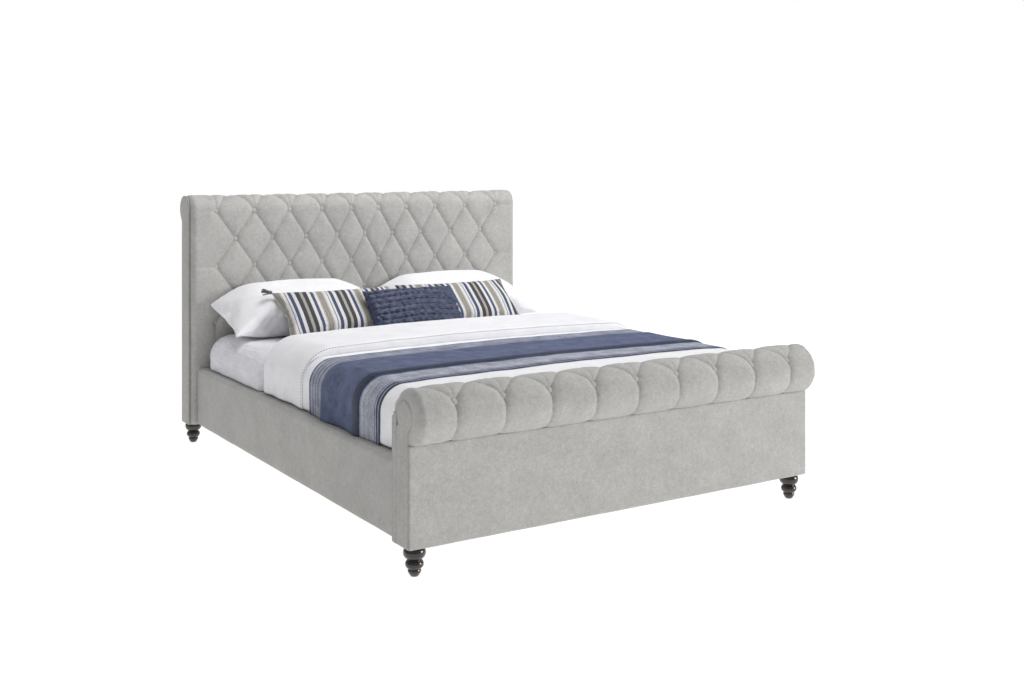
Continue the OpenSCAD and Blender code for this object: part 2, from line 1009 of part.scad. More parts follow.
module pillow(s) {
    x = s * (pillow_w + pillow_gap) / 2;
    color(bed_linen) cushion(x, pillow_y, pillow_z, pillow_w, pillow_half, pillow_rise, pillow_tilt);
}

module striped_cushion(s) {
    x = s * (striped_w + pillow_gap) / 2;
    color(stripe_blue)
        cushion(x, striped_y, striped_z, striped_w, striped_half, striped_rise, striped_tilt);
}

module blue_cushion() {
    color(satin_blue) cushion(0, blue_y, blue_z, blue_w, blue_half, blue_rise, blue_tilt);
}

headboard_end_board(-1);  // headboard_end_board_left
headboard_end_board(1);  // headboard_end_board_right
headboard_bottom_rail();
headboard_top_rail();
headboard_stiles();
headboard_scroll_former();
headboard_front_panel();
headboard_back_cover();
headboard_padding();
headboard_buttons();
headboard_facing(-1);  // headboard_facing_left
headboard_facing(1);  // headboard_facing_right
headboard_piping();
footboard_end_board(-1);  // footboard_end_board_left
footboard_end_board(1);  // footboard_end_board_right
footboard_bottom_rail();
footboard_top_rail();
footboard_stiles();
footboard_roll_former();
footboard_front_panel();
footboard_back_panel();
footboard_front_cover();
footboard_inner_cover();
footboard_roll();
footboard_buttons();
footboard_facing(-1);  // footboard_facing_left
footboard_facing(1);  // footboard_facing_right
footboard_piping();
rail_core(-1);  // rail_core_left
rail_core(1);  // rail_core_right
rail_cover(-1);  // rail_cover_left
rail_cover(1);  // rail_cover_right
slat_ledge(-1);  // slat_ledge_left
slat_ledge(1);  // slat_ledge_right
corner_bracket_front(-1);  // corner_bracket_front_left
corner_bracket_front(1);  // corner_bracket_front_right
corner_bracket_rear(-1);  // corner_bracket_rear_left
corner_bracket_rear(1);  // corner_bracket_rear_right
bracket_bolts();
foot_front(-1);  // foot_front_left
foot_front(1);  // foot_front_right
foot_rear(-1);  // foot_rear_left
foot_rear(1);  // foot_rear_right
foot_studs();
centre_rail();
centre_rail_hangers();
centre_leg(leg_front_y);  // centre_leg_front
centre_leg(leg_rear_y);  // centre_leg_rear
slats(-1);  // slats_left
slats(1);  // slats_right
slat_side_holders();
slat_centre_holders();
mattress();
duvet();
runner();
pillow(-1);  // pillow_left
pillow(1);  // pillow_right
striped_cushion(-1);  // striped_cushion_left
striped_cushion(1);  // striped_cushion_right
blue_cushion();
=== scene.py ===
# %% [markdown]
# # An upholstered sleigh bed
# A king size bed covered in grey chenille: a deep-buttoned headboard with a scroll along its top, a
# footboard that ends in a fat buttoned roll, padded side rails, turned feet and a made-up bed.
# The timber, slats and fittings come ready made with the frame. Everything soft is made here, in metres,
# straight in its place.

import json
import math

import bpy
import numpy as np
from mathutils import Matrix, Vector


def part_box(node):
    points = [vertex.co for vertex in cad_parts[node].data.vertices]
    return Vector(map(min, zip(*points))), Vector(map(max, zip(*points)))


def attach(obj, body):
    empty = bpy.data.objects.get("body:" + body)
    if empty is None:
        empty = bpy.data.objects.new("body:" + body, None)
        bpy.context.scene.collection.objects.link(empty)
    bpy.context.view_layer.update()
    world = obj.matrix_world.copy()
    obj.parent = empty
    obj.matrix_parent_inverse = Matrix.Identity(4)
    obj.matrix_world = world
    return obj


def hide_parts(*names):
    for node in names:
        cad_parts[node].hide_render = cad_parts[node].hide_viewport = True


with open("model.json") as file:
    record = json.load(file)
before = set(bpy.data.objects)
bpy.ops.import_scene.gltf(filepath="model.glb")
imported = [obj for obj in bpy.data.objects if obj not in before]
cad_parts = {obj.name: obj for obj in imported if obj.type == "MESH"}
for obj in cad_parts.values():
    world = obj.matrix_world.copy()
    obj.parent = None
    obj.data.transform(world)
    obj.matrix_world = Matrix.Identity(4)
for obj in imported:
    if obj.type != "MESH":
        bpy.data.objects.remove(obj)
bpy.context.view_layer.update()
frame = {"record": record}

# %% [markdown]
# ## Camera, light and floor
# The bed is seen from its foot and its left side, a little above the bedding. The camera is level, so that
# uprights stay upright, and its lens is shifted down instead of tilting it. The floor and the background
# are nearly white. A large soft lamp stands beyond the foot of the bed on the right and lights the foot
# end, and a weaker one hangs over the bed for the tops. The left rail stays a little darker.

# %% Set the camera
scene = bpy.context.scene
scene.view_settings.view_transform = "Standard"
camera = bpy.data.objects.new("camera", bpy.data.cameras.new("camera"))
scene.collection.objects.link(camera)
camera.location = (-2.6144, -4.4531, 1.3196)
camera.rotation_euler = (math.radians(90), 0, math.radians(-32.44))
camera.data.lens = 42.83
camera.data.shift_y = -0.1806
scene.camera = camera


# %% Colours from hex values, and one function that adds any node
def linear(hex_colour):
    value = int(hex_colour.lstrip("#"), 16)
    parts = [((value >> shift) & 255) / 255 for shift in (16, 8, 0)]
    parts = [p / 12.92 if p <= 0.04045 else ((p + 0.055) / 1.055) ** 2.4 for p in parts]
    return (*parts, 1.0)


def add(tree, kind, settings=None, inputs=None):
    made = tree.nodes.new(kind)
    for key, value in (settings or {}).items():
        setattr(made, key, value)
    for key, value in (inputs or {}).items():
        socket = made.inputs[key]
        if isinstance(value, bpy.types.NodeSocket):
            tree.links.new(value, socket)
        else:
            socket.default_value = value
    return made


# %% Light the studio
SKY_LIGHT = 0.34
world = bpy.data.worlds.new("studio")
world.use_nodes = True
scene.world = world
sky = world.node_tree
sky.nodes.clear()
paper = add(sky, "ShaderNodeBackground", inputs={"Color": linear("#FFFFFF"), "Strength": 1.0})
glow = add(sky, "ShaderNodeBackground", inputs={"Color": linear("#FDFDFF"), "Strength": SKY_LIGHT})
ray = add(sky, "ShaderNodeLightPath")
pick = add(
    sky,
    "ShaderNodeMixShader",
    inputs={0: ray.outputs["Is Camera Ray"], 1: glow.outputs[0], 2: paper.outputs[0]},
)
add(sky, "ShaderNodeOutputWorld", inputs={"Surface": pick.outputs[0]})


def soft_lamp(name, place, aim, size, watts):
    lamp = bpy.data.objects.new(name, bpy.data.lights.new(name, "AREA"))
    lamp.data.shape = "RECTANGLE"
    lamp.data.size, lamp.data.size_y = size
    lamp.data.energy = watts
    scene.collection.objects.link(lamp)
    lamp.location = place
    away = np.array(place) - np.array(aim)
    flat = math.hypot(away[0], away[1])
    lamp.rotation_euler = (math.atan2(flat, away[2]), 0, math.atan2(away[0], -away[1]))


soft_lamp("key_lamp", (6.8, -6.4, 2.5), (0.0, -0.2, 0.7), (2.4, 2.4), 440)
soft_lamp("top_lamp", (0.3, 0.2, 4.2), (0.0, 0.2, 0.5), (2.6, 2.6), 98)


# %% Lay the floor
def mesh_piece(name, points, faces, materials=()):
    mesh = bpy.data.meshes.new(name)
    mesh.from_pydata(np.asarray(points, float).tolist(), [], [tuple(map(int, face)) for face in faces])
    mesh.validate()
    mesh.shade_smooth()
    piece = bpy.data.objects.new(name, mesh)
    scene.collection.objects.link(piece)
    for material in materials:
        mesh.materials.append(material)
    return piece


def start_material(name, sockets):
    material = bpy.data.materials.new(name)
    material.use_nodes = True
    shader = material.node_tree.nodes["Principled BSDF"]
    for key, value in sockets.items():
        shader.inputs[key].default_value = value
    return material, material.node_tree, shader


FLOOR_HALF = 30.0
paint, paint_tree, paint_shader = start_material(
    "matt_white_floor_paint", {"Roughness": 0.9, "Specular IOR Level": 0.1}
)
paint_shader.inputs["Emission Color"].default_value = linear("#FFFFFF")
paint_shader.inputs["Emission Strength"].default_value = 0.93
paint_place = add(paint_tree, "ShaderNodeTexCoord")
paint_cloud = add(
    paint_tree, "ShaderNodeTexNoise", inputs={"Vector": paint_place.outputs["Object"], "Scale": 2.0}
)
paint_ramp = add(paint_tree, "ShaderNodeValToRGB", inputs={"Fac": paint_cloud.outputs["Fac"]})
paint_ramp.color_ramp.elements[0].color = linear("#8A8A8A")
paint_ramp.color_ramp.elements[1].color = linear("#929292")
paint_tree.links.new(paint_ramp.outputs["Color"], paint_shader.inputs["Base Color"])
corners = [
    (-FLOOR_HALF, -FLOOR_HALF, 0),
    (FLOOR_HALF, -FLOOR_HALF, 0),
    (FLOOR_HALF, FLOOR_HALF, 0),
    (-FLOOR_HALF, FLOOR_HALF, 0),
]
floor = mesh_piece("studio_floor", corners, [(0, 1, 2, 3)], [paint])


# %% [markdown]
# ## Grey chenille
# Chenille is woven from fuzzy yarn, like pipe cleaners a millimetre or two thick. Its short pile lies in
# all directions and is crushed in places, so it looks mottled, with small bright and dark strokes. It has
# no gloss, only a soft sheen where the pile is seen along its tips. The strokes here are twisted noise
# about 6 mm wide, coarser than the real yarn so that they show from across a room, and wider clouds stand
# for the crushed patches.

# %% Weave the chenille
def per(millimetres):
    return 1000.0 / millimetres


def noise(tree, place, size, detail=2.0, twist=0.0, roughness=0.5):
    return add(
        tree,
        "ShaderNodeTexNoise",
        inputs={
            "Vector": place,
            "Scale": per(size),
            "Detail": detail,
            "Distortion": twist,
            "Roughness": roughness,
        },
    ).outputs["Fac"]


def maths(tree, operation, *values):
    return add(tree, "ShaderNodeMath", {"operation": operation}, dict(enumerate(values))).outputs[0]


def ramp(tree, factor, stops, style="LINEAR"):
    made = add(tree, "ShaderNodeValToRGB", inputs={"Fac": factor})
    band = made.color_ramp
    stops = list(stops)
    band.interpolation = style
    while len(band.elements) < len(stops):
        band.elements.new(1.0)
    for element, (position, colour) in zip(band.elements, stops):
        element.position = position
        element.color = linear(colour)
    return made.outputs["Color"]


def bump(tree, shader, height, depth, strength=1.0):
    made = add(
        tree, "ShaderNodeBump", inputs={"Height": height, "Distance": depth / 1000, "Strength": strength}
    )
    tree.links.new(made.outputs["Normal"], shader.inputs["Normal"])


def object_place(tree):
    return add(tree, "ShaderNodeTexCoord").outputs["Object"]


def woven_chenille(name, shades):
    material, tree, shader = start_material(
        name,
        {
            "Roughness": 0.88,
            "Specular IOR Level": 0.25,
            "Sheen Weight": 0.25,
            "Sheen Roughness": 0.45,
            "Sheen Tint": linear("#F1F0EC"),
        },
    )
    place = object_place(tree)
    crushed = noise(tree, place, 110, 2)
    mottled = noise(tree, place, 16, 3, 0.8)
    strokes = noise(tree, place, 6.0, 2, 3.6)
    pile = noise(tree, place, 2.6, 1)
    total = maths(tree, "MULTIPLY", crushed, 0.13)
    total = maths(tree, "MULTIPLY_ADD", mottled, 0.20, total)
    total = maths(tree, "MULTIPLY_ADD", strokes, 0.52, total)
    total = maths(tree, "MULTIPLY_ADD", pile, 0.15, total)
    tree.links.new(ramp(tree, total, zip((0.36, 0.46, 0.54, 0.66), shades)), shader.inputs["Base Color"])
    height = maths(tree, "MULTIPLY_ADD", strokes, 0.7, maths(tree, "MULTIPLY", pile, 0.3))
    bump(tree, shader, height, 1.6, 0.8)
    return material


chenille = woven_chenille("grey_chenille", ["#989794", "#ABAAA7", "#B6B5B2", "#CBCAC5"])
# the piping's copy of the chenille is darker all over: painted shade on the cords
shaded_piping_chenille = woven_chenille("grey_chenille_piping_painted_shade", ["#8F8E8B", "#9F9E9B", "#AAA9A5", "#B9B8B3"])

# %% [markdown]
# ## The buttoned headboard
# Deep buttoning pulls buttons through thick foam in a diamond pattern, and the spare cloth is folded into a
# pleat from each button to its neighbours. One grid makes the whole sheet. Its cells are laid out so that
# the pleats run exactly along their diagonals, which keeps every crease sharp, and each point is then
# pushed in by its distance to the nearest pleats and buttons.

# %% Where the face of the headboard is, seen from the side
head_low, head_high = (np.array(corner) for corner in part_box("headboard_padding"))
BASE_Z = head_low[2]
HEAD_Y = head_low[1]
SCROLL_R = 0.060
SCROLL_Z = head_high[2] - SCROLL_R
BACK_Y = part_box("headboard_back_cover")[1][1]
SCROLL_FRONT_Y = HEAD_Y + SCROLL_R
SCROLL_BACK_Y = head_high[1] - SCROLL_R
TOP_ROW_Z = SCROLL_Z - 0.010
ROW_STEP = 0.127
HEAD_X = head_high[0]


def head_profile(path):
    """Point and outward direction in (y, z), by the length along the cover above the top row of buttons."""
    path = np.asarray(path, float)
    rise = SCROLL_Z - TOP_ROW_Z
    quarter = SCROLL_R * math.pi / 2
    flat = SCROLL_BACK_Y - SCROLL_FRONT_Y
    turn = np.clip((path - rise) / SCROLL_R, 0, math.pi / 2)
    slide = np.clip(path - rise - quarter, 0, flat)
    turn = turn + np.clip((path - rise - quarter - flat) / SCROLL_R, 0, math.pi)
    out = np.stack([-np.cos(turn), np.sin(turn)], -1)
    middle = np.stack([SCROLL_FRONT_Y + slide, np.full_like(path, SCROLL_Z)], -1)
    point = middle + SCROLL_R * out
    point[..., 1] += np.minimum(path - rise, 0)
    return point, out


# the cover tucks a little way in under the scroll, behind the top edge of the back cover
TUCK_UNDER = math.radians(15)
seam_turn = math.pi - TUCK_UNDER
SEAM_PATH = SCROLL_Z - TOP_ROW_Z + SCROLL_BACK_Y - SCROLL_FRONT_Y + SCROLL_R * (math.pi / 2 + seam_turn)
print("the cover runs", round(SEAM_PATH, 3), "m from the top row of buttons to its seam behind the scroll")


# %% Pleats and buttons
def head_button_x(half_steps):
    steps = np.asarray(half_steps, float) / 2
    return steps * (0.145 + 0.0051 * np.abs(steps))


def press_in(across, along, pleats, buttons, near, far, dimple):
    """How deep the cover is pulled in, from pleats (x0, s0, x1, s1, depth0, depth1) and buttons."""
    power = 3.0
    total = np.zeros_like(across)
    for x0, s0, x1, s1, deep0, deep1 in pleats:
        run = np.array([x1 - x0, s1 - s0])
        share = ((across - x0) * run[0] + (along - s0) * run[1]) / (run @ run)
        share = np.clip(share, 0, 1)
        off_x = across - x0 - share * run[0]
        off_s = along - s0 - share * run[1]
        away = np.hypot(off_x, off_s)
        deep = deep0 + (deep1 - deep0) * share
        aside = off_x if abs(run[1]) > 0.02 else off_s
        sharp = np.where(aside < 0, near[0], near[1])
        total += (deep * (0.58 * np.exp(-away / sharp) + 0.42 * np.exp(-((away / far) ** 1.3)))) ** power
    total = total ** (1 / power)
    reach, deep = dimple
    for x0, s0 in buttons:
        away = np.hypot(across - x0, along - s0)
        close = away < 4 * reach
        total[close] += deep * np.exp(-((away[close] / reach) ** 2))
    return total


def ripples(a, b, length, seed, count=7):
    draw = np.random.default_rng(seed)
    total = np.zeros(np.broadcast(a, b).shape)
    for _ in range(count):
        angle = draw.uniform(0, math.pi)
        size = length * draw.uniform(0.7, 1.5)
        shift = draw.uniform(0, 2 * math.pi)
        total += np.sin(2 * math.pi * (a * math.cos(angle) + b * math.sin(angle)) / size + shift)
    return total / count


head_buttons = []
for row in range(5):
    for half in range(-9 + row % 2, 10, 2):
        head_buttons.append((head_button_x(half).item(), -row * ROW_STEP))
head_pleats = []
MID_PLEAT = 0.0140
BUTTON_PLEAT = 0.0170
for row in range(-1, 4):
    for half in range(-9, 9):
        rising = (half + row) % 2 == 0
        low, high = (half, half + 1) if rising else (half + 1, half)
        ends = (
            head_button_x(low).item(), -(row + 1) * ROW_STEP, head_button_x(high).item(), -row * ROW_STEP
        )
        middle = ((ends[0] + ends[2]) / 2, (ends[1] + ends[3]) / 2)
        top_depth = BUTTON_PLEAT if row >= 0 else 0.011
        head_pleats.append((ends[0], ends[1], *middle, BUTTON_PLEAT, MID_PLEAT))
        head_pleats.append((*middle, ends[2], ends[3], MID_PLEAT, top_depth))
for half in range(-8, 9, 2):
    x = head_button_x(half).item()
    head_pleats.append((x, ROW_STEP, x, SEAM_PATH, 0.011, 0.002))
for half in range(-9, 10, 2):
    x = head_button_x(half).item()
    head_pleats.append((x, 0, x, ROW_STEP, 0.012, 0.004))
    head_pleats.append((x, -4 * ROW_STEP, x, -4 * ROW_STEP - 0.1, BUTTON_PLEAT, 0))
for side in (-1, 1):
    for row in (0, 2, 4):
        x = head_button_x(9 * side).item()
        head_pleats.append((x, -row * ROW_STEP, side * HEAD_X, -row * ROW_STEP - 0.004, 0.009, 0.0045))
    x = head_button_x(9 * side).item()
    head_pleats.append((x, 0, side * (abs(x) + 0.07), 0.11, 0.009, 0.001))
print(len(head_buttons), "buttons and", len(head_pleats), "lengths of pleat on the headboard")


# %% One closed sheet from a grid of points
def close_sheet(name, front, back, materials, falling=None):
    """Joins a grid of front points to its border on the back, and closes the back with long faces."""
    wide, tall = front.shape[:2]
    number = np.arange(wide * tall).reshape(wide, tall)
    a, b = number[:-1, :-1].ravel(), number[1:, :-1].ravel()
    c, d = number[1:, 1:].ravel(), number[:-1, 1:].ravel()
    fall = np.zeros(a.shape, bool) if falling is None else falling.ravel()
    one = np.where(fall[:, None], np.stack([a, b, d], 1), np.stack([a, b, c], 1))
    two = np.where(fall[:, None], np.stack([b, c, d], 1), np.stack([a, c, d], 1))
    faces = [*one, *two]
    border = np.zeros((wide, tall), bool)
    border[[0, -1], :] = True
    border[:, [0, -1]] = True
    behind = np.full((wide, tall), -1)
    behind[border] = wide * tall + np.arange(border.sum())
    loop = [(i, 0) for i in range(wide)] + [(wide - 1, j) for j in range(1, tall)]
    loop += [(i, tall - 1) for i in range(wide - 2, -1, -1)] + [(0, j) for j in range(tall - 2, 0, -1)]
    for first, second in zip(loop, loop[1:] + loop[:1]):
        faces.append((number[second], number[first], behind[first], behind[second]))
    faces.append((*behind[::-1, 0], behind[0, 1], behind[-1, 1]))
    faces.append((*behind[:, -1], behind[-1, -2], behind[0, -2]))
    for j in range(1, tall - 2):
        faces.append((behind[-1, j], behind[0, j], behind[0, j + 1], behind[-1, j + 1]))
    points = np.concatenate([front.reshape(-1, 3), back[border]])
    return mesh_piece(name, points, faces, materials)


# %% Build the sheet of the headboard
CELLS = 20
EDGE_R = 0.026
PUFF = 0.026
half_steps = np.arange(-9 * CELLS, 9 * CELLS + 1) / CELLS
inner_x = np.interp(half_steps, np.arange(-9, 10), head_button_x(np.arange(-9, 10)))
rounding_x = HEAD_X - EDGE_R * np.cos(np.linspace(0, math.pi / 2, 11)[1:])
margin = np.concatenate([np.linspace(inner_x[-1], HEAD_X - EDGE_R, 17)[1:], rounding_x])
head_x = np.concatenate([-margin[::-1], inner_x, margin])
below = np.linspace(BASE_Z - TOP_ROW_Z, -4 * ROW_STEP, 31)[:-1]
tufted = np.arange(-4 * CELLS, math.floor(SEAM_PATH / ROW_STEP * CELLS) + 1) / CELLS * ROW_STEP
head_s = np.concatenate([below, tufted, [SEAM_PATH]])
grid_x, grid_s = np.meshgrid(head_x, head_s, indexing="ij")
HEAD_NEAR = (0.0045, 0.0110)
HEAD_FAR = 0.024
CROWN = 0.004
pressed = press_in(grid_x, grid_s, head_pleats, head_buttons, HEAD_NEAR, HEAD_FAR, (0.016, 0.004))
edge = np.clip((np.abs(grid_x) - (HEAD_X - EDGE_R)) / EDGE_R, 0, 1)
plain = np.clip((grid_s + 4.6 * ROW_STEP) / (0.6 * ROW_STEP), 0, 1)
over_top = np.clip(1 - grid_s / 0.11, 0, 1)
puff = PUFF * (0.5 + 0.5 * plain) * over_top**2 * (3 - 2 * over_top)
rounding = (0.011 + puff) * (1 - np.sqrt(1 - edge**2))
lift = puff + CROWN * plain - pressed - rounding + 0.0012 * ripples(grid_x, grid_s, 0.16, 11)
seam = np.exp(-(SEAM_PATH - grid_s) / 0.012)
lift = lift * (1 - seam)
point, out = head_profile(grid_s)
front = np.dstack([grid_x, point + out * lift[..., None]])
back = np.dstack([grid_x, point - out * 0.024])
columns = np.floor(half_steps[:-1] + 1e-6)
first = len(margin)
column_unit = np.full(len(head_x) - 1, 99.0)
column_unit[first : first + len(columns)] = columns
row_unit = np.floor(head_s[:-1] / ROW_STEP + 1e-6)
falling = (column_unit[:, None] + row_unit[None, :]) % 2 == 0
headboard_cover = close_sheet("headboard_tufted_cover", front, back, [chenille], falling)
print("the headboard's sheet has", len(headboard_cover.data.polygons), "faces")

# %% [markdown]
# ## The buttoned roll of the footboard
# The roll is one fat tube of padding with a single row of buttons high on its front. A pleat runs from
# each button down to the seam under the roll. Two more run back over the top and meet halfway to the next
# button, so that each section swells like a petal. The same grid of diagonals is used, round this profile.

# %% Where the cover of the roll is, seen from the side
roll_low, roll_high = (np.array(corner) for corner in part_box("footboard_roll"))
ROLL_R = 0.086
ROLL_Y = roll_low[1] + ROLL_R
ROLL_Z = roll_high[2] - ROLL_R
FRONT_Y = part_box("footboard_front_cover")[0][1]
INNER_Y = roll_high[1]
SHOULDER_R = 0.022
SHOULDER_Y = INNER_Y - SHOULDER_R
SHOULDER_Z = ROLL_Z + 0.017
FRONT_SEAM_Z = 0.423
INNER_SEAM_Z = ROLL_Z - 0.006
FOOT_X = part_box("footboard_facing_right")[1][0]
ROLL_X = FOOT_X - 0.002
ROLL_END_R = 0.026
BUTTON_TURN = math.radians(142)
seam_angle = math.pi + math.asin((ROLL_Z - FRONT_SEAM_Z) / ROLL_R)
centre_gap = math.hypot(SHOULDER_Y - ROLL_Y, SHOULDER_Z - ROLL_Z)
tangent = math.atan2(
    SHOULDER_Z - ROLL_Z, SHOULDER_Y - ROLL_Y
) + math.acos((ROLL_R - SHOULDER_R) / centre_gap)
ROLL_ARC = (seam_angle - tangent) * ROLL_R
ROLL_FLAT = math.sqrt(centre_gap**2 - (ROLL_R - SHOULDER_R) ** 2)
SHOULDER_ARC = tangent * SHOULDER_R
ROLL_PATH = ROLL_ARC + ROLL_FLAT + SHOULDER_ARC + SHOULDER_Z - INNER_SEAM_Z
BUTTON_PATH = (seam_angle - BUTTON_TURN) * ROLL_R
print("the roll's cover runs", round(ROLL_PATH, 3), "m from seam to seam")


def roll_profile(path):
    path = np.asarray(path, float)
    on_roll = np.minimum(path, ROLL_ARC)
    on_flat = np.clip(path - ROLL_ARC, 0, ROLL_FLAT)
    on_shoulder = np.clip(path - ROLL_ARC - ROLL_FLAT, 0, SHOULDER_ARC)
    down = np.maximum(path - ROLL_ARC - ROLL_FLAT - SHOULDER_ARC, 0)
    first = seam_angle - on_roll / ROLL_R
    second = tangent - on_shoulder / SHOULDER_R
    past = path > ROLL_ARC + ROLL_FLAT
    turn = np.where(past, second, first)
    out = np.stack([np.cos(turn), np.sin(turn)], -1)
    roll_point = np.array([ROLL_Y, ROLL_Z]) + ROLL_R * out
    roll_point += on_flat[..., None] * np.array([math.sin(tangent), -math.cos(tangent)])
    shoulder_point = np.array([SHOULDER_Y, SHOULDER_Z]) + SHOULDER_R * out
    point = np.where(past[..., None], shoulder_point, roll_point)
    point[..., 1] -= down
    return point, out


# %% Pleats of the roll
ROLL_STEP = 0.09
BACK_STEP = 0.095
roll_buttons = [(0.18 * number, BUTTON_PATH) for number in range(-4, 5)]
roll_pleats = []
for x, s in roll_buttons:
    roll_pleats.append((x, s, x, s - 0.07, 0.017, 0.012))
    roll_pleats.append((x, s - 0.07, x, 0.0, 0.012, 0.005))
    roll_pleats.append((x, s, x, s + BACK_STEP, 0.009, 0.002))
    for side in (-1, 1):
        if abs(x + side * ROLL_STEP) < ROLL_X:
            middle = (x + side * ROLL_STEP / 2, s + BACK_STEP / 2)
            roll_pleats.append((x, s, *middle, 0.015, 0.009))
            roll_pleats.append((*middle, x + side * ROLL_STEP, s + BACK_STEP, 0.009, 0.010))
for number in range(-4, 4):
    x = 0.18 * number + ROLL_STEP
    roll_pleats.append((x, BUTTON_PATH + BACK_STEP, x, ROLL_PATH, 0.010, 0.007))
for side in (-1, 1):
    x = 0.72 * side
    roll_pleats.append((x, BUTTON_PATH, side * 0.80, BUTTON_PATH - 0.006, 0.006, 0.001))
    roll_pleats.append((side * 0.81, BUTTON_PATH + BACK_STEP, side * 0.81, ROLL_PATH, 0.008, 0.005))
    for number in range(9):
        s = 0.05 + number * 0.036
        roll_pleats.append((side * 0.862, s, side * 0.826, s + 0.004 * (-1) ** number, 0.0035, 0.0))

# %% Build the roll
ROLL_CELLS = 24
END_START = ROLL_X - ROLL_END_R
steps_x = np.arange(-8 * ROLL_CELLS, 8 * ROLL_CELLS + 1) / ROLL_CELLS * ROLL_STEP
end_turn = np.linspace(0, math.pi / 2, 15)[1:]
side_x = np.concatenate(
    [np.linspace(steps_x[-1], END_START, 26)[1:], END_START + ROLL_END_R * np.sin(end_turn)]
)
roll_x = np.concatenate([-side_x[::-1], steps_x, side_x])
lower = np.arange(-math.floor(BUTTON_PATH / BACK_STEP * ROLL_CELLS), 0)
upper = np.arange(0, math.floor((ROLL_PATH - BUTTON_PATH) / BACK_STEP * ROLL_CELLS) + 1)
inner_s = BUTTON_PATH + np.concatenate([lower, upper]) / ROLL_CELLS * BACK_STEP
roll_s = np.concatenate([[0.0], inner_s, [ROLL_PATH]])
grid_x, grid_s = np.meshgrid(roll_x, roll_s, indexing="ij")
pressed = press_in(grid_x, grid_s, roll_pleats, roll_buttons, (0.0045, 0.007), 0.030, (0.019, 0.006))
front_seam = 0.005 * np.exp(-grid_s / 0.010)
back_seam = 0.004 * np.exp(-(ROLL_PATH - grid_s) / 0.008)
lift = 0.007 - pressed - front_seam - back_seam + 0.0012 * ripples(grid_x, grid_s, 0.12, 21)
point, out = roll_profile(grid_s)
outer = point + out * lift[..., None]
turned = np.clip((np.abs(grid_x) - END_START) / ROLL_END_R, 0, 1)
keep = np.sqrt(1 - turned**2)
FACING_Y = ROLL_Y + 0.011
FACING_Z = ROLL_Z + 0.002
FACING_R = 0.050
sight = np.arctan2(point[..., 1] - FACING_Z, point[..., 0] - FACING_Y)
rim = np.stack([FACING_Y + FACING_R * np.cos(sight), FACING_Z + FACING_R * np.sin(sight)], -1)
neck = np.clip(1 - grid_s / 0.045, 0, 1)[..., None]
corner = np.stack([np.full_like(grid_s, FRONT_Y + 0.010), FRONT_SEAM_Z + 0.6 * grid_s], -1)
rim = rim * (1 - neck) + corner * neck
gathers = 0.0025 * np.sin(grid_s / 0.011 + np.sin(grid_s * 60)) * turned**2 * (1 - turned) * 4
outer = rim + (outer - rim) * keep[..., None] + out * gathers[..., None]
front = np.dstack([grid_x, outer])
back = np.dstack([np.clip(grid_x, -END_START, END_START), point - out * 0.024])
middle_x = (roll_x[:-1] + roll_x[1:]) / 2
column_unit = np.floor(middle_x / ROLL_STEP)
row_unit = np.floor(((roll_s[:-1] + roll_s[1:]) / 2 - BUTTON_PATH) / BACK_STEP)
falling = (column_unit[:, None] + row_unit[None, :]) % 2 == 1
roll_cover = close_sheet("footboard_roll_cover", front, back, [chenille], falling)
print("the roll has", len(roll_cover.data.polygons), "faces")

# %% [markdown]
# ## Covered buttons
# Each button is a small steel cap covered in the same cloth. They are all alike, so one node tree puts a
# flattened ball on every point it is given, turned to face the way the padding faces there.

# %% A node tree that sets buttons on points
def new_tree(name, sockets):
    tree = bpy.data.node_groups.new(name, "GeometryNodeTree")
    tree.interface.new_socket("Geometry", in_out="INPUT", socket_type="NodeSocketGeometry")
    tree.interface.new_socket("Geometry", in_out="OUTPUT", socket_type="NodeSocketGeometry")
    for label, kind in sockets.items():
        tree.interface.new_socket(label, in_out="INPUT", socket_type=kind)
    return tree, add(tree, "NodeGroupInput").outputs


def end_tree(tree, geometry, material, smooth=True):
    whole = add(tree, "GeometryNodeRealizeInstances", inputs={"Geometry": geometry}).outputs[0]
    shaded = add(
        tree, "GeometryNodeSetShadeSmooth", inputs={"Geometry": whole, "Shade Smooth": smooth}
    ).outputs[0]
    finished = add(
        tree, "GeometryNodeSetMaterial", inputs={"Geometry": shaded, "Material": material}
    ).outputs[0]
    add(tree, "NodeGroupOutput", inputs={"Geometry": finished})
    return tree


def named_vector(tree, name):
    return add(
        tree, "GeometryNodeInputNamedAttribute", {"data_type": "FLOAT_VECTOR"}, {"Name": name}
    ).outputs[0]


button_tree, given = new_tree(
    "set_covered_buttons",
    {"Radius": "NodeSocketFloat", "Height": "NodeSocketFloat", "Material": "NodeSocketMaterial"},
)
ball = add(
    button_tree, "GeometryNodeMeshUVSphere", inputs={"Segments": 24, "Rings": 12, "Radius": 1.0}
).outputs["Mesh"]
size = add(
    button_tree,
    "ShaderNodeCombineXYZ",
    inputs={"X": given["Radius"], "Y": given["Radius"], "Z": given["Height"]},
).outputs[0]
facing = add(
    button_tree,
    "FunctionNodeAlignRotationToVector",
    {"axis": "Z"},
    {"Vector": named_vector(button_tree, "outward")},
).outputs[0]
dots = add(button_tree, "GeometryNodeMeshToPoints", inputs={"Mesh": given["Geometry"]}).outputs[0]
placed = add(
    button_tree,
    "GeometryNodeInstanceOnPoints",
    inputs={"Points": dots, "Instance": ball, "Rotation": facing, "Scale": size},
).outputs[0]
end_tree(button_tree, placed, given["Material"])


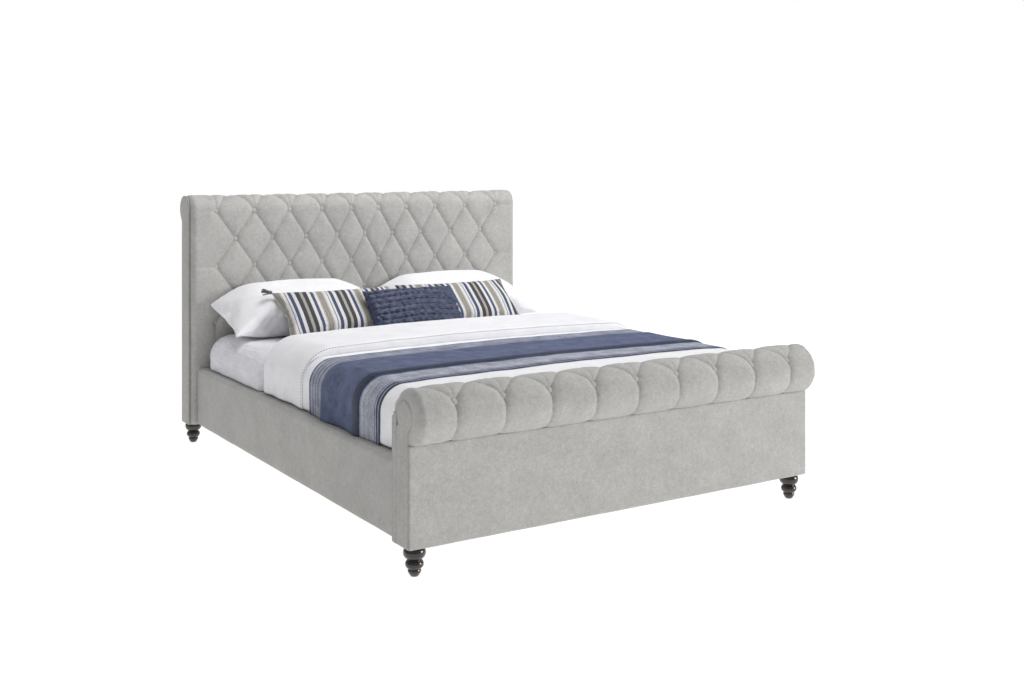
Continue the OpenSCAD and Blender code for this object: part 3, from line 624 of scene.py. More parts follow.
# %% Run a tree on a mesh and keep the result as a plain piece
def grow(name, tree, source, values):
    """Sets the modifier's inputs by their identifiers, evaluates it, and leaves a plain mesh."""
    live = source.modifiers.new(tree.name, "NODES")
    live.node_group = tree
    sockets = {
        item.name: item.identifier
        for item in tree.interface.items_tree if item.item_type == "SOCKET" and item.in_out == "INPUT"
    }
    for label, value in values.items():
        live[sockets[label]] = value
    bpy.context.view_layer.update()
    evaluated = source.evaluated_get(bpy.context.evaluated_depsgraph_get())
    mesh = bpy.data.meshes.new_from_object(evaluated)
    mesh.name = name
    piece = bpy.data.objects.new(name, mesh)
    scene.collection.objects.link(piece)
    bpy.data.objects.remove(source)
    print(name, "has", len(mesh.polygons), "faces")
    return piece


def guide(name, points, edges=(), **vectors):
    mesh = bpy.data.meshes.new(name)
    mesh.from_pydata(np.asarray(points, float).tolist(), [tuple(map(int, pair)) for pair in edges], [])
    for label, values in vectors.items():
        attribute = mesh.attributes.new(label, "FLOAT_VECTOR", "POINT")
        attribute.data.foreach_set("vector", np.asarray(values, float).ravel())
    piece = bpy.data.objects.new(name, mesh)
    scene.collection.objects.link(piece)
    return piece


def set_buttons(name, places, profile, depth):
    places = np.array(places)
    point, out = profile(places[:, 1])
    sunk = point - out * depth
    spots = np.column_stack([places[:, 0], sunk])
    outward = np.column_stack([np.zeros(len(places)), out])
    source = guide(name + "_spots", spots, outward=outward)
    return grow(name, button_tree, source, {"Radius": 0.0135, "Height": 0.0085, "Material": chenille})


headboard_buttons = set_buttons("headboard_covered_buttons", head_buttons, head_profile, -0.0085)
footboard_buttons = set_buttons("footboard_covered_buttons", roll_buttons, roll_profile, 0.0135)

# %% [markdown]
# ## Facings and piping
# The ends of both boards are closed by thin padded plates, the facings, cut to the side outline of the
# board. A cord wrapped in a strip of the cloth, the piping, hides the seam of each facing. It runs all the
# way round at the headboard, and round all but the bottom edge at the footboard.
# The facing is an outline shrunk in a few rings that rise to a soft crown. The piping is a node tree that
# sweeps a small circle along a path. Its cloth is a darker copy of the chenille, which is painted shade on
# the cords.

# %% Outlines of the facings, in (y, z)
def arc(y, z, radius, start, end, count):
    turn = np.radians(np.linspace(start, end, count))
    return np.column_stack([y + radius * np.cos(turn), z + radius * np.sin(turn)])


def spaced(points, step, closed=True):
    """The same outline with its points an equal step apart."""
    points = np.asarray(points, float)
    if closed:
        points = np.vstack([points, points[:1]])
    lengths = np.concatenate([[0], np.cumsum(np.linalg.norm(np.diff(points, axis=0), axis=1))])
    count = max(3, round(lengths[-1] / step))
    where = np.linspace(0, lengths[-1], count + 1)
    if closed:
        where = where[:-1]
    return np.column_stack([np.interp(where, lengths, points[:, axis]) for axis in range(points.shape[1])])


def shrink(outline, inset):
    """Moves each point of a closed outline inwards; the outline runs anticlockwise."""
    ahead = np.roll(outline, -1, 0) - np.roll(outline, 1, 0)
    ahead /= np.linalg.norm(ahead, axis=1)[:, None]
    inward = np.column_stack([-ahead[:, 1], ahead[:, 0]])
    for _ in range(3):
        inward = (np.roll(inward, 1, 0) + 2 * inward + np.roll(inward, -1, 0)) / 4
    inward /= np.linalg.norm(inward, axis=1)[:, None]
    return outline + inward * inset


seam_turn = math.pi - math.asin((BACK_Y - SCROLL_BACK_Y) / SCROLL_R)
seam_z = SCROLL_Z + SCROLL_R * math.cos(seam_turn)
head_outline = np.vstack(
    [
        [[HEAD_Y, BASE_Z], [BACK_Y, BASE_Z], [BACK_Y, seam_z - 0.012]],
        arc(SCROLL_BACK_Y, SCROLL_Z, SCROLL_R, 90 - math.degrees(seam_turn) + 8, 90, 40),
        arc(SCROLL_FRONT_Y, SCROLL_Z, SCROLL_R, 90, 180, 30),
    ]
)
facing_fold = math.degrees(math.asin((0.470 - FACING_Z) / FACING_R))
STRIP_FRONT_Y = FRONT_Y + 0.010
STRIP_BACK_Y = FRONT_Y + 0.090
front_fold = 180 + math.degrees(math.acos((FACING_Y - STRIP_FRONT_Y) / FACING_R))
foot_outline = np.vstack(
    [
        [[STRIP_FRONT_Y, BASE_Z], [STRIP_BACK_Y, BASE_Z], [STRIP_BACK_Y, 0.462]],
        arc(FACING_Y, FACING_Z, FACING_R, facing_fold + 12, front_fold, 60),
    ]
)


# %% Cut the facings
def facing(name, outline, outer_x, thickness, side):
    outline = spaced(outline, 0.006)
    rings = [(0.0, -thickness), (0.0, -0.0035), (0.0012, -0.0012), (0.0035, 0.0), (0.0058, 0.0005)]
    layers = []
    for inset, rise in rings:
        flat = shrink(outline, inset)
        across = np.full(len(flat), outer_x + rise)
        layers.append(np.column_stack([side * across, flat]))
    count = len(outline)
    faces = []
    for ring in range(len(rings) - 1):
        for k in range(count):
            a, b = ring * count + k, ring * count + (k + 1) % count
            faces.append((a, b, b + count, a + count))
    faces.append(tuple(range(count - 1, -1, -1)))
    faces.append(tuple(range((len(rings) - 1) * count, len(rings) * count)))
    if side < 0:
        faces = [face[::-1] for face in faces]
    return mesh_piece(name, np.vstack(layers), faces, [chenille])


head_facings = [
    facing(f"headboard_end_facing_{name}", head_outline, HEAD_X + 0.0075, 0.0075, side)
    for name, side in (("left", -1), ("right", 1))
]
foot_facings = [
    facing(f"footboard_end_facing_{name}", foot_outline, FOOT_X - 0.0005, 0.0075, side)
    for name, side in (("left", -1), ("right", 1))
]

# %% A node tree that sweeps a round cord along a path
cord_tree, given = new_tree(
    "sweep_piping",
    {"Radius": "NodeSocketFloat", "Step": "NodeSocketFloat", "Material": "NodeSocketMaterial"},
)
path = add(cord_tree, "GeometryNodeMeshToCurve", inputs={"Mesh": given["Geometry"]}).outputs[0]
path = add(
    cord_tree, "GeometryNodeResampleCurve", {"mode": "LENGTH"}, {"Curve": path, "Length": given["Step"]}
).outputs[0]
ring = add(
    cord_tree, "GeometryNodeCurvePrimitiveCircle", inputs={"Resolution": 10, "Radius": given["Radius"]}
).outputs["Curve"]
tube = add(
    cord_tree, "GeometryNodeCurveToMesh", inputs={"Curve": path, "Profile Curve": ring, "Fill Caps": True}
).outputs[0]
end_tree(cord_tree, tube, given["Material"])


def chain(paths):
    """Joins several lists of points into one guide; each is (points, closed)."""
    points, edges = [], []
    for line, closed in paths:
        start = len(points)
        points.extend(np.asarray(line).tolist())
        edges.extend((k, k + 1) for k in range(start, len(points) - 1))
        if closed:
            edges.append((len(points) - 1, start))
    return points, edges


def lay_piping(name, paths, radius=0.0032):
    source = guide(name + "_path", *chain(paths))
    return grow(name, cord_tree, source, {"Radius": radius, "Step": 0.006, "Material": shaded_piping_chenille})


def round_facing(outline, x, grow_by):
    loop = shrink(spaced(outline, 0.006), -grow_by)
    return np.column_stack([np.full(len(loop), x), loop])


head_piping_paths = [
    (round_facing(head_outline, side * (HEAD_X + 0.0045), -0.0018), True) for side in (-1, 1)
]
headboard_piping = lay_piping("headboard_piping_cord", head_piping_paths)
foot_piping_paths = []
for side in (-1, 1):
    loop = round_facing(foot_outline, side * (FOOT_X - 0.004), 0.0010)
    foot_piping_paths.append((loop[loop[:, 2] > BASE_Z + 0.003], False))
    corner_x = side * (FOOT_X - 0.0035)
    foot_piping_paths.append(
        (
            [
                (corner_x, FRONT_Y + 0.0035, BASE_Z + 0.003),
                (corner_x, FRONT_Y + 0.0035, FRONT_SEAM_Z - 0.004),
            ],
            False,
        )
    )
footboard_piping = lay_piping("footboard_piping_cord", foot_piping_paths)

# %% [markdown]
# ## Plain covers
# The front of the footboard, its inner face, the back of the headboard and the side rails are boards
# wrapped in thin foam and cloth. Their edges are soft, and their faces are never quite flat. Each is a
# block with a fine grid on every side, whose edges are rounded by pulling the points in towards a smaller
# block, and whose faces swell a little.

# %% A soft block
def lattice(low, high, radius, cell):
    edge_steps = min(radius, (high - low) / 2) * np.array([0, 0.12, 0.3, 0.55, 1.0])
    flat = np.linspace(low + edge_steps[-1], high - edge_steps[-1], max(2, round((high - low) / cell)))
    return np.unique(np.round(np.concatenate([low + edge_steps, flat, high - edge_steps]), 7))


def soft_block(name, low, high, radius, cell, materials, shape=None):
    low, high = np.array(low, float), np.array(high, float)
    radius = np.minimum(np.broadcast_to(radius, 3).astype(float), (high - low) / 2 * 0.999)
    axes = [lattice(low[k], high[k], radius[k], cell) for k in range(3)]
    shell = np.zeros([len(axis) for axis in axes], bool)
    for k in range(3):
        side = np.moveaxis(shell, k, 0)
        side[[0, -1]] = True
    number = np.full(shell.shape, -1)
    number[shell] = np.arange(shell.sum())
    points = np.stack(np.meshgrid(*axes, indexing="ij"), -1)[shell]
    inner = np.clip(points, low + radius, high - radius)
    away = (points - inner) / radius
    length = np.linalg.norm(away, axis=1)
    outward = away / np.maximum(length, 1e-9)[:, None]
    points = inner + outward * radius
    if shape is not None:
        points = shape(points, outward)
    faces = []
    for k in range(3):
        layers = np.moveaxis(number, k, 0)
        for end, flip in ((0, k != 1), (-1, k == 1)):
            layer = layers[end]
            quads = np.stack(
                [layer[:-1, :-1], layer[1:, :-1], layer[1:, 1:], layer[:-1, 1:]], -1
            ).reshape(-1, 4)
            faces.append(quads[:, ::-1] if flip else quads)
    return mesh_piece(name, points, np.vstack(faces), materials)


def gentle(size, amount, seed, crown=0.0):
    """Soft unevenness of upholstery, as a function for soft_block."""
    def shape(points, outward):
        uneven = ripples(points[:, 0] + 0.7 * points[:, 1], points[:, 2] + 0.7 * points[:, 1], size, seed)
        return points + outward * (amount * uneven + crown)[:, None]
    return shape


front_low, front_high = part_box("footboard_front_cover")
front_cover = soft_block(
    "footboard_front_panel_cover",
    front_low,
    (front_high[0], front_high[1], FRONT_SEAM_Z - 0.001),
    (0.008, 0.005, 0.008),
    0.014,
    [chenille],
    gentle(0.22, 0.0010, 31),
)
inner_low, inner_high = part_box("footboard_inner_cover")
inner_cover = soft_block(
    "footboard_inner_panel_cover",
    (inner_low[0], inner_high[1] - 0.010, inner_low[2]),
    (inner_high[0], inner_high[1], INNER_SEAM_Z),
    (0.006, 0.005, 0.006),
    0.02,
    [chenille],
    gentle(0.22, 0.0008, 32),
)
returns = []
for name, side in (("left", -1), ("right", 1)):
    xs = sorted((side * (FOOT_X - 0.0085), side * (FOOT_X - 0.0005)))
    returns.append(
        soft_block(
            f"footboard_side_strip_{name}",
            (xs[0], STRIP_BACK_Y + 0.0005, BASE_Z),
            (xs[1], INNER_Y - 0.0095, INNER_SEAM_Z + 0.012),
            (0.003, 0.004, 0.003),
            0.012,
            [chenille],
            gentle(0.1, 0.0004, 33),
        )
    )
back_low, back_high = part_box("headboard_back_cover")
TOP_TUCK = 0.006
back_cover = soft_block(
    "headboard_back_panel_cover",
    back_low,
    np.array(back_high) + np.array([0, 0, TOP_TUCK]),
    (0.006, 0.0028, 0.006),
    0.02,
    [chenille],
    gentle(0.3, 0.0004, 34),
)


# %% Wrap the side rails
# the foam settles by this much under its cover
RAIL_SETTLE = 0.009
rail_low, rail_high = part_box("rail_cover_right")


def rail_section():
    """The outline of a rail's cover, in (x, z)."""
    inner_x, outer_x, bottom, top = rail_low[0], rail_high[0], rail_low[2], rail_high[2]
    round_r = 0.019
    core_x, core_top = inner_x + 0.002, top - 0.015
    top = top - RAIL_SETTLE
    return np.vstack(
        [
            [[inner_x, bottom + 0.180]],
            arc(inner_x + round_r, top - round_r, round_r, 180, 90, 9),
            arc(outer_x - round_r, top - round_r, round_r, 90, 0, 9),
            arc(outer_x - 0.008, bottom + 0.008, 0.008, 0, -90, 5),
            [[core_x, bottom], [core_x, bottom + 0.002], [core_x + 0.040, bottom + 0.002]],
            [[core_x + 0.040, core_top], [core_x, core_top], [core_x, bottom + 0.180]],
        ]
    )


def sweep(name, section, stations, side, materials, shape=None):
    """A closed (x, z) section carried along y, with both ends closed."""
    count = len(section)
    layers = [np.column_stack([section[:, 0], np.full(count, y), section[:, 1]]) for y in stations]
    points = np.array(layers)
    if shape is not None:
        points = shape(points)
    points = points.reshape(-1, 3)
    points[:, 0] *= side
    faces = []
    for layer in range(len(stations) - 1):
        for k in range(count):
            a, b = layer * count + k, layer * count + (k + 1) % count
            faces.append((a, a + count, b + count, b))
    faces.append(tuple(range(count)))
    faces.append(tuple(range(len(stations) * count - 1, (len(stations) - 1) * count - 1, -1)))
    if side > 0:
        faces = [face[::-1] for face in faces]
    return mesh_piece(name, points, faces, materials)


def refine(section, step):
    points = []
    for first, second in zip(section, np.roll(section, -1, 0)):
        count = max(1, math.ceil(np.linalg.norm(second - first) / step))
        points.extend(first + (second - first) * k / count for k in range(count))
    return np.array(points)


rail_start, rail_end = rail_low[1], rail_high[1]
section = refine(rail_section(), 0.014)
soft_part = (section[:, 0] > rail_low[0] + 0.044) | (section[:, 1] > rail_high[2] - 0.012)


def rail_shape(seed):
    def shape(points):
        ahead = np.roll(points[0], -1, 0) - np.roll(points[0], 1, 0)
        out = np.column_stack([-ahead[:, 2], np.zeros(len(ahead)), ahead[:, 0]])
        out /= np.maximum(np.linalg.norm(out, axis=1), 1e-9)[:, None]
        uneven = ripples(points[..., 1], points[..., 2] + points[..., 0], 0.2, seed)
        ends = np.minimum(points[..., 1] - rail_start, rail_end - points[..., 1])
        tuck = 0.004 * np.exp(-ends / 0.008)
        return points + out[None] * ((0.0011 * uneven - tuck) * soft_part[None])[..., None]
    return shape


stations = lattice(rail_start, rail_end, 0.02, 0.016)
rail_covers = [
    sweep(f"side_rail_cover_{name}", section, stations, side, [chenille], rail_shape(seed))
    for name, side, seed in (("left", -1, 41), ("right", 1, 42))
]

# %% [markdown]
# ## White cotton
# The sheet, the duvet cover and the pillow cases are percale, a tight plain weave of fine cotton. It
# scatters light almost evenly, with a faint sheen. Small creases show as soft shading from the bump, and
# the colour is also made darker in their hollows, which is painted crease shade. The weave is far too
# fine to see, so the bump is drawn about four times as coarse as the real threads.

# %% Weave the cottons
def white_cotton(name, shades, weave, crease_depth, level_depth=0.0):
    material, tree, shader = start_material(
        name,
        {
            "Roughness": 0.75,
            "Specular IOR Level": 0.3,
            "Sheen Weight": 0.12,
            "Sheen Roughness": 0.4,
            "Subsurface Weight": 0.0,
        },
    )
    place = object_place(tree)
    cloud = noise(tree, place, 90, 2)
    crease = noise(tree, place, 38, 3, 1.2)
    thread = noise(tree, place, weave, 1)
    # the colour follows the crease noise as well as a random cloud: it is darker in the hollows of the bump,
    # as painted crease shade
    tone = maths(tree, "MULTIPLY_ADD", crease, 0.5, maths(tree, "MULTIPLY", cloud, 0.5))
    tree.links.new(ramp(tree, tone, zip((0.35, 0.65), shades)), shader.inputs["Base Color"])
    height = maths(tree, "MULTIPLY_ADD", crease, crease_depth, maths(tree, "MULTIPLY", thread, 0.12))
    if level_depth > 0:
        flat = add(
            tree, "ShaderNodeMapping", inputs={"Vector": place, "Scale": (0.14, 0.14, 1.0)}
        ).outputs[0]
        level = noise(tree, flat, 13, 3, 0.9)
        height = maths(tree, "MULTIPLY_ADD", level, level_depth, height)
    bump(tree, shader, height, 1.0, 0.7)
    return material


percale = white_cotton("white_cotton_percale", ["#EBEBEF", "#F5F5F7"], 2.4, 1.2)
# the fitted sheet's copy of the percale is greyer all over: painted shade on the mattress
shaded_sheeting = white_cotton("white_cotton_sheet", ["#E0E0E6", "#EEEEF2"], 2.4, 2.4, 14.0)

# %% [markdown]
# ## The mattress in its fitted sheet
# A pocket-sprung mattress with soft rounded edges. The fitted sheet is pulled over its corners and tucked
# underneath, so its sides are crossed by long, shallow, nearly level wrinkles.

# %% Make the mattress
mattress_low, mattress_high = (np.array(corner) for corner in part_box("mattress"))
duvet_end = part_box("duvet")[1][1] - 0.005
RAIL_TOP = rail_high[2] - RAIL_SETTLE
# beyond the duvet's end the mattress swells over the rails: heights, and how far out it comes there
BULGE_Z = (RAIL_TOP - 0.010, RAIL_TOP + 0.006, 0.42, 0.46, 0.50, 0.52)
BULGE_X = (0.020, 0.060, 0.062, 0.052, 0.036, 0.030)
# room for the mattress to be lifted past the padded headboard
HEAD_GAP = 0.0285


def sheet_wrinkles(points, outward):
    sides = np.clip(1 - np.abs(outward[:, 2]), 0, 1)
    level = ripples(0.25 * (points[:, 0] + points[:, 1]), points[:, 2], 0.034, 51, 9)
    high = np.interp(points[:, 2], BULGE_Z, BULGE_X)
    bare = np.clip((points[:, 1] - duvet_end) / 0.04, 0, 1)
    wide = np.clip((np.abs(points[:, 0]) - 0.45) / 0.30, 0, 1)
    points[:, 0] += np.sign(points[:, 0]) * high * bare**2 * (3 - 2 * bare) * wide**2 * (3 - 2 * wide)
    pulls = ripples(points[:, 0] + points[:, 1], 0.6 * points[:, 2], 0.16, 52)
    soft = ripples(points[:, 0], points[:, 1], 0.45, 53)
    move = sides * (0.0028 * level + 0.0025 * pulls) + (1 - sides) * 0.0016 * soft
    return points + outward * (move - 0.003)[:, None]


mattress_piece = soft_block(
    "mattress_with_fitted_sheet",
    mattress_low,
    mattress_high - np.array([0, HEAD_GAP, 0]),
    (0.060, 0.075, 0.075),
    0.014,
    [shaded_sheeting],
    sheet_wrinkles,
)
print("the mattress has", len(mattress_piece.data.polygons), "faces")

# %% [markdown]
# ## The duvet
# The duvet lies over the mattress and hangs down both sides to the rails. Its head end is turned back on
# itself, which makes a second, thicker layer that ends in a soft round fold near the pillows and in a
# stitched hem towards the foot. Its outside is one grid: across the bed along an arch, and from the foot
# to the head through a list of stations that draw the hem and the folds.

# %% Arches across the bed
duvet_low, duvet_high = (np.array(corner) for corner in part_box("duvet"))
runner_low, runner_high = (np.array(corner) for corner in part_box("runner"))
HANG_Z = RAIL_TOP + 0.001
ARCH_POINTS = 241


def arch(half, top, low, radius, crown):
    """Points (x, z) of an arch from the left hem over the top to the right hem, evenly spaced."""
    left = arc(-half + radius, top - radius, radius, 180, 90, 16)
    right = arc(half - radius, top - radius, radius, 90, 0, 16)
    line = np.vstack([[[-half, low]], left, right, [[half, low]]])
    line = spaced(line, 0.002, closed=False)
    middle = np.clip(1 - (line[:, 0] / (half - 0.02)) ** 2, 0, 1)
    line[:, 1] += crown * middle**0.7 * (line[:, 1] > top - radius)
    lengths = np.concatenate([[0], np.cumsum(np.linalg.norm(np.diff(line, axis=0), axis=1))])
    where = np.linspace(0, lengths[-1], ARCH_POINTS)
    return np.column_stack([np.interp(where, lengths, line[:, k]) for k in range(2)]), lengths[-1]


base_half = duvet_high[0] - 0.004
under, _ = arch(mattress_high[0] + 0.001, mattress_high[2] + 0.001, HANG_Z, 0.046, 0.0)
base_top = runner_high[2] - 0.006
over_base, base_length = arch(base_half, base_top - 0.012, HANG_Z, 0.085, 0.012)
over_fold, _ = arch(base_half + 0.006, duvet_high[2] - 0.020, HANG_Z, 0.125, 0.020)
print("the duvet measures", round(base_length, 3), "m over the bed from hem to hem")


def arch_out(line):
    ahead = np.gradient(line, axis=0)
    out = np.column_stack([-ahead[:, 1], ahead[:, 0]])
    return out / np.linalg.norm(out, axis=1)[:, None]


out_base = arch_out(over_base)


def duvet_surface(y, fold, fullness, lift=0.0):
    """Points across the bed at one y: fold 0 to 1 from one layer to two, fullness 0 inside to 1 outside."""
    outer = over_base + (over_fold - over_base) * fold
    span = np.linspace(-1, 1, ARCH_POINTS) * base_length / 2
    to_hem = base_length / 2 - np.abs(span)
    side = np.clip(1 - (outer[:, 1] - HANG_Z) / 0.20, 0, 1)
    folds = np.sin(2 * math.pi * y / 0.21 + 1.5 * np.sin(5 * y + np.sign(span)) + 0.6 * np.sign(span))
    hang = 0.004 * side**1.3 * folds
    soft = 0.0030 * ripples(
        span, np.full_like(span, y), 0.33, 61
    ) + 0.0011 * ripples(span, np.full_like(span, y), 0.10, 62)
    hem = np.sqrt(np.clip(1 - np.clip(1 - to_hem / 0.014, 0, 1) ** 2, 0.04, 1))
    full = 0.5 + (fullness - 0.5) * hem if lift == 0 else np.full_like(hem, fullness)
    outer = outer + out_base * (soft + hang + lift)[:, None]
    across = under + (outer - under) * full[:, None]
    return np.column_stack([across[:, 0], np.full(ARCH_POINTS, y), across[:, 1]])


# %% Stations from the foot to the head, and back inside
HEM_Y = duvet_low[1] + 0.850
stations = []
for turn in np.radians(np.linspace(-90, 90, 9)):
    stations.append((duvet_low[1] + 0.024 * (1 - math.cos(turn)), 0.0, 0.5 + 0.5 * math.sin(turn)))
for y in np.linspace(duvet_low[1] + 0.036, HEM_Y - 0.004, 64):
    stations.append((y, 0.0, 1.0))
for y, fold in (
    (0.008, 0.0), (0.003, 0.10), (-0.001, 0.32), (-0.001, 0.55), (0.004, 0.76), (0.014, 0.90), (0.028, 0.98)
):
    stations.append((HEM_Y + y, fold, 1.0))
FOLD_R = 0.045
for y in np.linspace(HEM_Y + 0.044, duvet_high[1] - FOLD_R - 0.01, 26):
    stations.append((y, 1.0, 1.0))
for turn in np.radians(np.linspace(90, -90, 15)):
    stations.append((duvet_high[1] - FOLD_R + FOLD_R * math.cos(turn), 1.0, 0.5 + 0.5 * math.sin(turn)))
duvet_rows = np.array([duvet_surface(*station) for station in stations])


def close_tube(name, rows, materials):
    """A grid whose rows close on themselves from last to first, with both open ends closed."""
    count, across = rows.shape[:2]
    faces = []
    for row in range(count):
        ahead = (row + 1) % count
        a = row * across + np.arange(across - 1)
        b = ahead * across + np.arange(across - 1)
        faces.append(np.stack([a, a + 1, b + 1, b], 1))
    faces = [*np.vstack(faces)]
    faces.append(np.arange(count) * across)
    faces.append(np.arange(count)[::-1] * across + across - 1)
    return mesh_piece(name, rows.reshape(-1, 3), faces, materials)


duvet_piece = close_tube("duvet_turned_down", duvet_rows, [percale])
print("the duvet has", len(duvet_piece.data.polygons), "faces")

# %% [markdown]
# ## The hem stitches
# A row of small slanting stitches runs along the edge of the turned-down hem. The path is taken
# from the duvet's own surface, and a node tree lays one short stitch at every step, turned along the path.

# %% A node tree that lays stitches along a path
stitch_tree, given = new_tree(
    "lay_stitches",
    {
        "Step": "NodeSocketFloat",
        "Length": "NodeSocketFloat",
        "Thickness": "NodeSocketFloat",
        "Slant": "NodeSocketFloat",
        "Material": "NodeSocketMaterial",
    },
)
path = add(stitch_tree, "GeometryNodeMeshToCurve", inputs={"Mesh": given["Geometry"]}).outputs[0]
dots = add(
    stitch_tree, "GeometryNodeCurveToPoints", {"mode": "LENGTH"}, {"Curve": path, "Length": given["Step"]}
).outputs
bead = add(
    stitch_tree, "GeometryNodeMeshUVSphere", inputs={"Segments": 8, "Rings": 6, "Radius": 0.5}
).outputs["Mesh"]
size = add(
    stitch_tree,
    "ShaderNodeCombineXYZ",
    inputs={"X": given["Thickness"], "Y": given["Thickness"], "Z": given["Length"]},
).outputs[0]
slant = add(stitch_tree, "ShaderNodeCombineXYZ", inputs={"Y": given["Slant"]}).outputs[0]
turned = add(
    stitch_tree,
    "FunctionNodeRotateRotation",
    {"rotation_space": "LOCAL"},
    {"Rotation": dots["Rotation"], "Rotate By": slant},
).outputs[0]
placed = add(
    stitch_tree,
    "GeometryNodeInstanceOnPoints",
    inputs={"Points": dots["Points"], "Instance": bead, "Rotation": turned, "Scale": size},
).outputs[0]
end_tree(stitch_tree, placed, given["Material"])


def thread_material(name, dark, light, roughness):
    material, tree, shader = start_material(name, {"Roughness": roughness, "Sheen Weight": 0.2})
    twist = noise(tree, object_place(tree), 1.5, 2, 0.5)
    tree.links.new(ramp(tree, twist, [(0.35, dark), (0.65, light)]), shader.inputs["Base Color"])
    bump(tree, shader, twist, 0.4)
    return material


grey_thread = thread_material("grey_cotton_thread", "#767678", "#A3A2A2", 0.7)
hem_line = duvet_surface(HEM_Y + 0.0065, 0.82, 1.0)[3:-3]
hem_source = guide("hem_path", *chain([(hem_line, False)]))
hem_stitches = grow(
    "duvet_hem_stitches",
    stitch_tree,
    hem_source,
    {"Step": 0.012, "Length": 0.0085, "Thickness": 0.0030, "Slant": 0.5, "Material": grey_thread},
)

# %% [markdown]
# ## The runner
# A runner lies across the foot of the bed. Its ends are woven in fine blue, grey and white stripes, and a
# band of felted blue wool is sewn on top, with a dark whipped edge towards the foot. The cloth follows the
# duvet's surface exactly, a few millimetres above it, and is thicker where the felt is.

# %% Weave the runner
RUNNER_STRIPES = [
    (0.000, "#5E6170"), (0.012, "#D9DAE0"), (0.024, "#4A5577"), (0.050, "#DDDEE3"), (0.062, "#8A91A8"),
    (0.072, "#DADBE1"), (0.140, "#CACCD4"), (0.155, "#DADBE1"), (0.190, "#C4C7D0"), (0.205, "#D8D9DF"),
    (0.235, "#B9BDC8"), (0.252, "#444E6C"),
]
RUNNER_DEEP = 0.6
FELT_START = 0.155 / RUNNER_DEEP
FELT_END = 0.470 / RUNNER_DEEP
REAR_STRIPES = [
    (0.800, "#B3B7C3"), (0.815, "#CDCFD6"), (0.835, "#969DB0"), (0.855, "#D2D4DA"), (0.880, "#9DA3B4"),
    (0.900, "#D1D3D9"), (0.925, "#949BAE"), (0.945, "#C9CCD4"), (0.975, "#525C7C"),
]
wool, wool_tree, wool_shader = start_material(
    "brushed_blue_wool",
    {
        "Roughness": 0.9,
        "Specular IOR Level": 0.2,
        "Sheen Weight": 0.3,
        "Sheen Roughness": 0.5,
        "Sheen Tint": linear("#A9B4D8"),
    },
)
place = object_place(wool_tree)
along = add(wool_tree, "ShaderNodeSeparateXYZ", inputs={0: place}).outputs["Y"]
share = add(
    wool_tree,
    "ShaderNodeMapRange",
    inputs={"Value": along, "From Min": runner_low[1], "From Max": runner_high[1]},
).outputs[0]
waver = maths(wool_tree, "MULTIPLY_ADD", noise(wool_tree, place, 60, 2), 0.010, share)
waver = maths(wool_tree, "SUBTRACT", waver, 0.005)
felt_stop = [(FELT_START, "#646D8A"), (FELT_END, "#9A9EAB")]
stripes = ramp(wool_tree, waver, RUNNER_STRIPES + felt_stop + REAR_STRIPES, "CONSTANT")
fuzz = noise(wool_tree, place, 5, 3, 1.0)
shade = noise(wool_tree, place, 55, 2)
fade = maths(wool_tree, "MULTIPLY_ADD", fuzz, 0.55, maths(wool_tree, "MULTIPLY", shade, 0.45))
grain = ramp(wool_tree, fade, [(0.36, "#A6A6AA"), (0.64, "#FFFFFF")])
thin = maths(
    wool_tree,
    "SINE",
    maths(wool_tree, "MULTIPLY_ADD", along, 2 * math.pi * per(8.5), maths(wool_tree, "MULTIPLY", fuzz, 2.5)),
)
in_felt = maths(
    wool_tree,
    "MULTIPLY",
    maths(wool_tree, "GREATER_THAN", waver, FELT_START),
    maths(wool_tree, "LESS_THAN", waver, FELT_END),
)
thin = maths(wool_tree, "MAXIMUM", maths(wool_tree, "MULTIPLY_ADD", thin, 0.5, 0.5), in_felt)
thin = ramp(wool_tree, thin, [(0.12, "#A6ABBA"), (0.40, "#FFFFFF")])
lined = add(
    wool_tree,
    "ShaderNodeMix",
    {"data_type": "RGBA", "blend_type": "MULTIPLY"},
    {0: 1.0, 6: stripes, 7: thin},
).outputs[2]
mixed = add(
    wool_tree,
    "ShaderNodeMix",
    {"data_type": "RGBA", "blend_type": "MULTIPLY"},
    {0: 1.0, 6: lined, 7: grain},
).outputs[2]
wool_tree.links.new(mixed, wool_shader.inputs["Base Color"])
ribs = maths(wool_tree, "SINE", maths(wool_tree, "MULTIPLY", along, 2 * math.pi * per(4.5)))
bump(
    wool_tree,
    wool_shader,
    maths(wool_tree, "MULTIPLY_ADD", fuzz, 1.2, maths(wool_tree, "MULTIPLY", ribs, 0.25)),
    1.2,
    0.8,
)
navy_thread = thread_material("navy_wool_thread", "#1B202E", "#454F6C", 0.85)


def runner_lift(share):
    felt = np.clip((share - FELT_START) / 0.012, 0, 1) * np.clip((FELT_END - share) / 0.02 + 1, 0, 1)
    edge = math.sqrt(max(0.0, 1 - (1 - min(share, 1 - share, 0.008) / 0.008) ** 2))
    return 0.0016 + edge * (0.0022 + 0.0042 * felt)


def runner_row(y, share, inside=False):
    lift = 0.0012 if inside else runner_lift(share)
    return duvet_surface(y, 0.0, 1.0, lift)


